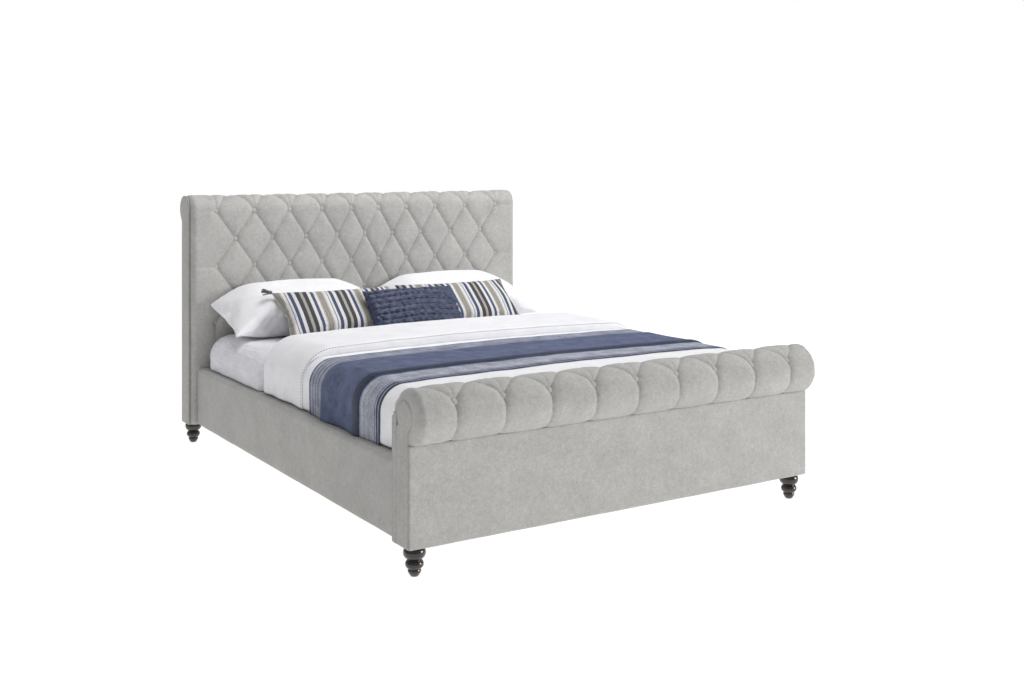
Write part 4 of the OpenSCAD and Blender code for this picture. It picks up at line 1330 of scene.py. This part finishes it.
shares = np.unique(
    np.concatenate(
        [
            np.linspace(0, 1, 90),
            np.linspace(0, 0.012, 6),
            np.linspace(0.988, 1, 6),
            FELT_START + np.linspace(0, 0.014, 7),
        ]
    )
)
runner_y = runner_low[1] + shares * (runner_high[1] - runner_low[1])
top_rows = [runner_row(y, share) for y, share in zip(runner_y, shares)]
bottom_rows = [runner_row(y, 0, True) for y in runner_y[::-1]]
runner_rows = np.array(top_rows + bottom_rows)
runner_piece = close_tube("bed_runner", runner_rows, [wool])
edge_y = runner_low[1] + (FELT_START + 0.045) * RUNNER_DEEP
whip_lines = [(duvet_surface(edge_y, 0.0, 1.0, 0.0076), False)]
whip_source = guide("whip_path", *chain(whip_lines))
whipping = grow(
    "bed_runner_whipped_edge",
    stitch_tree,
    whip_source,
    {"Step": 0.0085, "Length": 0.056, "Thickness": 0.0078, "Slant": 1.15, "Material": navy_thread},
)
print("the runner measures", RUNNER_DEEP, "by", round(base_length, 3), "m")

# %% [markdown]
# ## Pillows and cushions
# Each one is a flat bag of two sheets of cloth sewn round their edges and filled. A cloth simulation blows
# the flat bag up, which gives the swollen middle, the sides that pull in between the pointed corners and
# the puckers near the seam. The bag is then sized, turned to the angle at which it leans, and pressed
# against whatever it rests on. Every point keeps its place on the flat cloth as a UV map, so that woven
# stripes follow the cushion's curves.

# %% Blow up a flat bag
def flat_bag(name, width, depth, cells_x, cells_y, round_corner):
    number = np.full((2, cells_x + 1, cells_y + 1), -1)
    number[0] = np.arange(number[0].size).reshape(number[0].shape)
    inside = (slice(1, -1), slice(1, -1))
    number[1] = number[0]
    number[1][inside] = number[0].size + np.arange(number[1][inside].size).reshape(number[1][inside].shape)
    across, deep = np.meshgrid(
        np.linspace(-1, 1, cells_x + 1), np.linspace(-1, 1, cells_y + 1), indexing="ij"
    )
    pull = 1 - round_corner * (np.abs(across * deep)) ** 8
    flat = np.stack([across * pull * width / 2, deep * pull * depth / 2], -1)
    points = np.zeros((number.max() + 1, 3))
    rest = np.zeros((number.max() + 1, 2))
    swell = 0.012 * (1 - across**2) * (1 - deep**2)
    for layer, sign in ((1, -1), (0, 1)):
        ids = number[layer].ravel()
        points[ids, :2] = flat.reshape(-1, 2)
        points[ids, 2] = sign * swell.ravel()
        rest[ids] = np.stack([across, deep], -1).reshape(-1, 2) / 2 + 0.5
    top, low = number
    up = np.stack([top[:-1, :-1], top[1:, :-1], top[1:, 1:], top[:-1, 1:]], -1).reshape(-1, 4)
    down = np.stack([low[:-1, :-1], low[:-1, 1:], low[1:, 1:], low[1:, :-1]], -1).reshape(-1, 4)
    piece = mesh_piece(name, points, np.vstack([up, down]))
    layer = piece.data.uv_layers.new(name="flat_cloth")
    loops = np.zeros(len(piece.data.loops), int)
    piece.data.loops.foreach_get("vertex_index", loops)
    layer.data.foreach_set("uv", rest[loops].ravel())
    return piece, rest


def read_points(mesh):
    points = np.zeros(len(mesh.vertices) * 3)
    mesh.vertices.foreach_get("co", points)
    return points.reshape(-1, 3)


def write_points(mesh, points):
    mesh.vertices.foreach_set("co", np.asarray(points, float).ravel())
    mesh.update()


def blow_up(piece, pressure, frames=24, stiff=8.0):
    """Runs the cloth simulation and applies its result."""
    mesh = piece.data
    before = read_points(mesh)
    cloth = piece.modifiers.new("fill", "CLOTH")
    cloth.settings.quality = 6
    cloth.settings.mass = 0.25
    cloth.settings.tension_stiffness = stiff
    cloth.settings.compression_stiffness = stiff
    cloth.settings.shear_stiffness = stiff * 0.6
    cloth.settings.bending_stiffness = 0.35
    cloth.settings.use_pressure = True
    cloth.settings.uniform_pressure_force = pressure
    cloth.settings.effector_weights.gravity = 0
    cloth.settings.air_damping = 2.0
    cloth.point_cache.frame_start = 1
    cloth.point_cache.frame_end = frames
    for number in range(1, frames + 1):
        scene.frame_set(number)
    evaluated = piece.evaluated_get(bpy.context.evaluated_depsgraph_get())
    after = read_points(evaluated.data)
    piece.modifiers.remove(cloth)
    scene.frame_set(1)
    write_points(mesh, after)


def smooth_points(mesh, points, rounds, weight=0.5):
    edges = np.zeros(len(mesh.edges) * 2, int)
    mesh.edges.foreach_get("vertices", edges)
    edges = edges.reshape(-1, 2)
    degree = np.bincount(edges.ravel(), minlength=len(points))[:, None]
    for _ in range(rounds):
        total = np.zeros_like(points)
        np.add.at(total, edges[:, 0], points[edges[:, 1]])
        np.add.at(total, edges[:, 1], points[edges[:, 0]])
        points = points + weight * (total / degree - points)
    return points


def lean(points, size, middle, tilt):
    """Sizes a bag to (width, depth, thickness), tips its head end up, and sets it down."""
    span = points.max(0) - points.min(0)
    points = (points - (points.max(0) + points.min(0)) / 2) * (np.array(size) / span)
    turn = math.radians(tilt)
    y = points[:, 1] * math.cos(turn) - points[:, 2] * math.sin(turn)
    z = points[:, 1] * math.sin(turn) + points[:, 2] * math.cos(turn)
    return np.column_stack([points[:, 0], y, z]) + np.array(middle)


def soft_floor(height, limit, give):
    """Keeps a height above a limit, with a round transition instead of a hard edge."""
    over = (height - limit) / give
    return limit + give * np.where(over > 3, over, np.log1p(np.exp(np.clip(over, -30, 3))))


# %% Make the two pillows
MATTRESS_TOP = mattress_high[2] + 0.0008
WALL_Y = HEAD_Y - PUFF - 0.008
PILLOW_TILT = 15
pillows = []
for name, side in (("left", -1), ("right", 1)):
    low, high = (np.array(corner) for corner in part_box(f"pillow_{name}"))
    pillow, rest = flat_bag(f"bed_pillow_{name}", 0.80, 0.47, 112, 66, 0.0)
    blow_up(pillow, 2.6, 26)
    points = read_points(pillow.data)
    if side > 0:
        points[:, 0] *= -1
        pillow.data.flip_normals()
    end = np.clip((np.abs(points[:, 0]) / np.abs(points[:, 0]).max() - 0.5) / 0.5, 0, 1) ** 2
    points[:, 2] *= 1 - 0.5 * end
    middle = (low + high) / 2
    points = lean(
        points,
        (high[0] - low[0] + 0.018, 0.405, 0.205),
        middle + np.array([side * 0.004, 0.004, 0.004]),
        PILLOW_TILT,
    )
    points[:, 2] -= 0.032 * end
    points[:, 2] = soft_floor(points[:, 2], MATTRESS_TOP, 0.004)
    points[:, 1] = WALL_Y - soft_floor(WALL_Y - points[:, 1], 0.0, 0.006)
    write_points(pillow.data, points)
    pillow.data.materials.append(percale)
    pillows.append(pillow)
    print(pillow.name, "measures", np.round(points.max(0) - points.min(0), 3))

# %% [markdown]
# ## Striped cotton
# A yarn-dyed canvas with woven stripes in blue, charcoal, beige and white that run along the short side of
# the cushion. One repeat of the stripes is about 18 cm wide. Some stripes are hatched, because two colours
# of yarn alternate in them.

# %% Weave the stripes
REPEATS = 3.3
STRIPES = [
    ("#4D5778", 0.000), ("#E9E8E6", 0.085), ("#4B4A4D", 0.165), ("#DAD8D4", 0.270), ("#4B4A4D", 0.340),
    ("#ECEBE9", 0.445), ("#525C7E", 0.520), ("#EDECEA", 0.600), ("#BDB8AE", 0.665), ("#8E8A84", 0.705),
    ("#C6C1B7", 0.720), ("#8E8A84", 0.790), ("#C0BBB1", 0.805), ("#EBEAE8", 0.850), ("#6A718A", 0.925),
    ("#E9E8E6", 0.945),
]


def striped_cotton(name, shift):
    material, tree, shader = start_material(
        name, {"Roughness": 0.8, "Specular IOR Level": 0.25, "Sheen Weight": 0.12, "Sheen Roughness": 0.4}
    )
    flat = add(tree, "ShaderNodeTexCoord").outputs["UV"]
    parts = add(tree, "ShaderNodeSeparateXYZ", inputs={0: flat}).outputs
    repeat = maths(tree, "FRACT", maths(tree, "MULTIPLY_ADD", parts["X"], REPEATS, shift))
    bands = ramp(tree, repeat, [(position, colour) for colour, position in STRIPES], "CONSTANT")
    slanted = maths(tree, "MULTIPLY_ADD", parts["Y"], 46.0, maths(tree, "MULTIPLY", parts["X"], 70.0))
    hatch = maths(tree, "PINGPONG", slanted, 0.5)
    hatched = ramp(
        tree,
        repeat,
        [(0.0, "#000000"), (0.270, "#FFFFFF"), (0.340, "#000000"), (0.705, "#FFFFFF"), (0.805, "#000000")],
        "CONSTANT",
    )
    mask = maths(tree, "MULTIPLY", maths(tree, "GREATER_THAN", hatch, 0.26), hatched)
    dark = add(
        tree, "ShaderNodeMix", {"data_type": "RGBA"}, {0: mask, 6: bands, 7: linear("#77746F")}
    ).outputs[2]
    yarn = noise(tree, object_place(tree), 3.0, 2)
    grain = ramp(tree, yarn, [(0.3, "#D2D2D2"), (0.7, "#FFFFFF")])
    mixed = add(
        tree, "ShaderNodeMix", {"data_type": "RGBA", "blend_type": "MULTIPLY"}, {0: 1.0, 6: dark, 7: grain}
    ).outputs[2]
    tree.links.new(mixed, shader.inputs["Base Color"])
    bump(tree, shader, yarn, 0.5, 0.6)
    return material


# %% Make the striped cushions
STRIPED_TILT = 40
striped = []
for name, side, shift in (("left", -1, 0.66), ("right", 1, 0.20)):
    low, high = (np.array(corner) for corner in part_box(f"striped_cushion_{name}"))
    cushion, rest = flat_bag(f"striped_cushion_bag_{name}", 0.60, 0.335, 100, 56, 0.0)
    blow_up(cushion, 3.2, 24)
    points = read_points(cushion.data)
    middle = (low + high) / 2
    points = lean(
        points,
        (high[0] - low[0] + 0.010, 0.310, 0.118),
        middle + np.array([0, -0.002, 0.004]),
        STRIPED_TILT,
    )
    points[:, 2] = soft_floor(points[:, 2], MATTRESS_TOP, 0.004)
    write_points(cushion.data, points)
    cushion.data.materials.append(striped_cotton(f"striped_cotton_canvas_{name}", shift))
    striped.append(cushion)
    if name == "left":
        outer_corners = [points[np.argmin(np.abs(rest - end).sum(1))] for end in ((0, 0), (0, 1))]

# %% [markdown]
# ## Tassels
# Small tassels of charcoal cotton hang from the outer corners of the left striped cushion. A tassel is a
# bundle of threads under a knot. A node tree spreads thin tapered threads round a ring with a fixed seed,
# adds the knot, and sets the whole tassel on each corner, turned outwards.

# %% A node tree that hangs tassels on points
tassel_tree, given = new_tree(
    "hang_tassels",
    {
        "Threads": "NodeSocketInt",
        "Length": "NodeSocketFloat",
        "Seed": "NodeSocketInt",
        "Material": "NodeSocketMaterial",
    },
)
thread = add(
    tassel_tree,
    "GeometryNodeMeshCone",
    inputs={"Vertices": 6, "Radius Top": 0.0013, "Radius Bottom": 0.0015, "Depth": given["Length"]},
).outputs["Mesh"]
ring = add(
    tassel_tree, "GeometryNodeMeshCircle", inputs={"Vertices": given["Threads"], "Radius": 0.0055}
).outputs[0]
ring_dots = add(tassel_tree, "GeometryNodeMeshToPoints", inputs={"Mesh": ring}).outputs[0]
splay = add(
    tassel_tree,
    "FunctionNodeRandomValue",
    {"data_type": "FLOAT_VECTOR"},
    {0: (-0.26, -0.26, 0), 1: (0.26, 0.26, 0), 8: given["Seed"]},
).outputs[0]
fringe = add(
    tassel_tree,
    "GeometryNodeInstanceOnPoints",
    inputs={"Points": ring_dots, "Instance": thread, "Rotation": splay},
).outputs[0]
knot = add(
    tassel_tree, "GeometryNodeMeshUVSphere", inputs={"Segments": 16, "Rings": 10, "Radius": 0.0085}
).outputs["Mesh"]
both = add(tassel_tree, "GeometryNodeJoinGeometry")
tassel_tree.links.new(fringe, both.inputs[0])
tassel_tree.links.new(knot, both.inputs[0])
turned = add(
    tassel_tree,
    "FunctionNodeAlignRotationToVector",
    {"axis": "Z"},
    {"Vector": named_vector(tassel_tree, "outward")},
).outputs[0]
hung_dots = add(tassel_tree, "GeometryNodeMeshToPoints", inputs={"Mesh": given["Geometry"]}).outputs[0]
hung = add(
    tassel_tree,
    "GeometryNodeInstanceOnPoints",
    inputs={"Points": hung_dots, "Instance": both.outputs[0], "Rotation": turned},
).outputs[0]
end_tree(tassel_tree, hung, given["Material"])
charcoal_thread = thread_material("charcoal_cotton_thread", "#3C3C40", "#77777A", 0.8)
tassel_source = guide(
    "tassel_spots",
    np.array(outer_corners) + np.array([-0.003, 0, 0.002]),
    outward=[(-1.0, -0.25, -0.05), (-1.0, -0.10, 0.12)],
)
tassels = grow(
    "striped_cushion_tassels",
    tassel_tree,
    tassel_source,
    {"Threads": 34, "Length": 0.042, "Seed": 5, "Material": charcoal_thread},
)

# %% [markdown]
# ## The blue satin cushion
# Navy satin gathered into pin tucks: level rows of fine stitched tucks about 30 mm apart, pinched together
# every few centimetres in turn, like brickwork. Between the stitches the satin puffs up and catches the
# light. The tucks are pressed into the blown-up mesh, so that they show from every side.

# %% Make the blue cushion
satin, satin_tree, satin_shader = start_material(
    "navy_cotton_satin", {
        "Roughness": 0.42,
        "Specular IOR Level": 0.5,
        "Sheen Weight": 0.35,
        "Sheen Roughness": 0.35,
        "Sheen Tint": linear("#8390C0"),
    }
)
place = object_place(satin_tree)
cloud = noise(satin_tree, place, 30, 3, 0.8)
thread = noise(satin_tree, place, 2.0, 1)
satin_tree.links.new(
    ramp(satin_tree, cloud, [(0.3, "#2A314B"), (0.7, "#424B69")]), satin_shader.inputs["Base Color"]
)
bump(satin_tree, satin_shader, maths(satin_tree, "MULTIPLY_ADD", cloud, 3.0, thread), 1.0, 0.6)
BLUE_TILT = 48
BLUE_WIDE = 0.465
BLUE_DEEP = 0.285
TUCKS = 9.0
PINCHES = 5.0
low, high = (np.array(corner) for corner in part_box("blue_cushion"))
blue, rest = flat_bag("blue_pintucked_cushion", BLUE_WIDE, BLUE_DEEP, 150, 92, 0.0)
blow_up(blue, 3.2, 24)
points = read_points(blue.data)
points = smooth_points(blue.data, points, 2)
tuck_row = rest[:, 1] * TUCKS + 0.10 * np.sin(rest[:, 0] * 9)
row_number = np.floor(tuck_row)
to_tuck = np.abs(tuck_row - np.round(tuck_row)) * BLUE_DEEP / TUCKS
pinch = rest[:, 0] * PINCHES + 0.5 * (row_number % 2) + 0.22 * np.sin(row_number * 2.4)
slant = np.abs(pinch - np.round(pinch) + 0.25 * (tuck_row - row_number - 0.5)) * BLUE_WIDE / PINCHES
groove = 0.0085 * np.exp(-to_tuck / 0.0032) + 0.0030 * np.exp(-slant / 0.003)
puff = 0.0026 * ripples(rest[:, 0] * BLUE_WIDE, rest[:, 1] * BLUE_DEEP, 0.022, 71)
border = np.clip(np.minimum(rest, 1 - rest).min(1) / 0.04, 0, 1)
write_points(blue.data, points)
outward = np.zeros(len(points) * 3)
blue.data.vertex_normals.foreach_get("vector", outward)
points = points + outward.reshape(-1, 3) * ((puff - groove) * border)[:, None]
points = lean(
    points, (high[0] - low[0] + 0.004, 0.268, 0.100), (low + high) / 2 + np.array([0, 0, 0.002]), BLUE_TILT
)
points[:, 2] = soft_floor(points[:, 2], MATTRESS_TOP, 0.004)
write_points(blue.data, points)
blue.data.materials.append(satin)

# %% [markdown]
# ## Turned feet
# The feet are turned from beech on a lathe and finished in a nearly black gloss lacquer: a small toe, a
# collar, a bead and a bun that carries the bed. A profile from the floor upwards is spun round the foot's
# own middle line.

# %% Turn the feet
lacquer, lacquer_tree, lacquer_shader = start_material(
    "black_gloss_lacquer_on_turned_beech", {"Roughness": 0.22, "Coat Weight": 0.5, "Coat Roughness": 0.12}
)
place = object_place(lacquer_tree)
grain = add(
    lacquer_tree, "ShaderNodeMapping", inputs={"Vector": place, "Scale": (1.0, 1.0, 0.12)}
).outputs[0]
streak = noise(lacquer_tree, grain, 4, 3, 0.4)
lacquer_tree.links.new(
    ramp(lacquer_tree, streak, [(0.3, "#120F0E"), (0.7, "#2A2421")]), lacquer_shader.inputs["Base Color"]
)
bump(lacquer_tree, lacquer_shader, streak, 0.15, 0.5)


def foot_profile():
    """Radius and height of the foot in metres, from the middle of its sole to the middle of its top."""
    bead = arc(0.0148, 0.0386, 0.0152, -62, 62, 13)
    bun = arc(0.0148, 0.0750, 0.0220, -58, 58, 17)
    sole = [
        [0.0, 0.0],
        [0.0120, 0.0],
        [0.0135, 0.0010],
        [0.0200, 0.0115],
        [0.0218, 0.0165],
        [0.0218, 0.0200],
        [0.0200, 0.0222],
    ]
    return np.vstack(
        [sole, [[0.0196, 0.0240]], bead, [[0.0220, 0.0530]], bun, [[0.0262, 0.0950], [0.0, 0.0950]]]
    )


def turned_foot(name, x, y, around=40):
    profile = foot_profile()
    turn = np.linspace(0, 2 * math.pi, around, endpoint=False)
    middle = profile[1:-1]
    rings = [
        np.column_stack([x + r * np.cos(turn), y + r * np.sin(turn), np.full(around, z)]) for r, z in middle
    ]
    points = np.vstack([*rings, [[x, y, profile[0, 1]], [x, y, profile[-1, 1]]]])
    sole, top = len(points) - 2, len(points) - 1
    faces = []
    for ring in range(len(middle) - 1):
        for k in range(around):
            a, b = ring * around + k, ring * around + (k + 1) % around
            faces.append((a, b, b + around, a + around))
    last = (len(middle) - 1) * around
    faces += [(sole, (k + 1) % around, k) for k in range(around)]
    faces += [(top, last + k, last + (k + 1) % around) for k in range(around)]
    return mesh_piece(name, points, faces, [lacquer])


feet = []
for name in ("front_left", "front_right", "rear_left", "rear_right"):
    low, high = (np.array(corner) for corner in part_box(f"foot_{name}"))
    feet.append(turned_foot(f"turned_foot_{name}", *((low + high) / 2)[:2]))

# %% [markdown]
# ## Timber, plywood, beech, steel and plastic
# The parts underneath come from the frame and keep their shapes. Pine has wide soft growth rings, plywood
# a flat mild figure, laminated beech slats fine short flecks. The fittings are zinc-plated steel with a
# fine even speckle, and the slat holders are satin moulded plastic.

# %% Finish the timber and the fittings
def timber(name, shades, ring, stretch, roughness):
    material, tree, shader = start_material(name, {"Roughness": roughness, "Specular IOR Level": 0.35})
    grain = add(
        tree, "ShaderNodeMapping", inputs={"Vector": object_place(tree), "Scale": stretch}
    ).outputs[0]
    rings = noise(tree, grain, ring, 4, 1.0)
    fleck = noise(tree, grain, ring / 6, 2)
    tone = maths(tree, "MULTIPLY_ADD", rings, 0.75, maths(tree, "MULTIPLY", fleck, 0.25))
    tree.links.new(ramp(tree, tone, zip((0.32, 0.50, 0.66), shades)), shader.inputs["Base Color"])
    bump(tree, shader, tone, 0.3, 0.5)
    return material


def plain_finish(name, shades, size, sockets, depth=0.1, stretch=(1.0, 1.0, 1.0)):
    material, tree, shader = start_material(name, sockets)
    grain = add(
        tree, "ShaderNodeMapping", inputs={"Vector": object_place(tree), "Scale": stretch}
    ).outputs[0]
    speck = noise(tree, grain, size, 3)
    tree.links.new(ramp(tree, speck, zip((0.35, 0.65), shades)), shader.inputs["Base Color"])
    bump(tree, shader, speck, depth, 0.4)
    return material


finishes = {
    "softwood": timber("planed_pine", ["#C79F69", "#D9B983", "#E6CB9C"], 22, (1.0, 1.0, 0.12), 0.6),
    "plywood": timber("sanded_birch_plywood", ["#BE9967", "#CDAC7C", "#D8BB90"], 30, (0.15, 1.0, 1.0), 0.6),
    "beech": timber(
        "lacquered_laminated_beech", ["#CFA877", "#DDBB8C", "#E8CBA1"], 8, (0.06, 1.0, 1.0), 0.35
    ),
    "steel": plain_finish(
        "zinc_plated_steel", ["#8C9093", "#B4B8BA"], 6, {"Metallic": 1.0, "Roughness": 0.35}, 0.05
    ),
    "black_plastic": plain_finish(
        "moulded_black_polypropylene", ["#1C1E20", "#2A2C2F"], 3, {"Roughness": 0.5, "IOR": 1.49}
    ),
}
record = frame["record"]
finished = 0
for part in record["subparts"]:
    finish = finishes.get(part["material_slot"])
    node = bpy.data.objects.get(part["node"])
    if finish is None or node is None:
        continue
    node.data.materials.clear()
    node.data.materials.append(finish)
    finished += 1
print(finished, "parts of the frame are finished as they are")

# %% [markdown]
# ## Which body each piece moves with
# The whole bedstead is one body. The mattress, duvet, runner, pillows and cushions each lift off on their
# own, so each of their pieces rides on its own body and stands for the plain shape of the same name.

# %% Ride and replace
bed_pieces = {
    headboard_cover: "headboard_padding",
    headboard_buttons: "headboard_buttons",
    headboard_piping: "headboard_piping",
    back_cover: "headboard_back_cover",
    roll_cover: "footboard_roll",
    footboard_buttons: "footboard_buttons",
    footboard_piping: "footboard_piping",
    front_cover: "footboard_front_cover",
    inner_cover: "footboard_inner_cover",
}
for name, facing_piece, foot_facing, rail_cover in zip(
    ("left", "right"), head_facings, foot_facings, rail_covers
):
    bed_pieces[facing_piece] = f"headboard_facing_{name}"
    bed_pieces[foot_facing] = f"footboard_facing_{name}"
    bed_pieces[rail_cover] = f"rail_cover_{name}"
for foot in feet:
    bed_pieces[foot] = foot.name.replace("turned_foot", "foot")
for piece, node in bed_pieces.items():
    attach(piece, "bed")
    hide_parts(node)
for piece in returns:
    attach(piece, "bed")
loose_pieces = [
    (mattress_piece, "mattress", "mattress"),
    (duvet_piece, "duvet", "duvet"),
    (hem_stitches, "duvet", None),
    (runner_piece, "runner", "runner"),
    (whipping, "runner", None),
    (pillows[0], "left_pillow", "pillow_left"),
    (pillows[1], "right_pillow", "pillow_right"),
    (striped[0], "left_striped_cushion", "striped_cushion_left"),
    (tassels, "left_striped_cushion", None),
    (striped[1], "right_striped_cushion", "striped_cushion_right"),
    (blue, "blue_cushion", "blue_cushion"),
]
for piece, body, node in loose_pieces:
    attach(piece, body)
    if node:
        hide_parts(node)
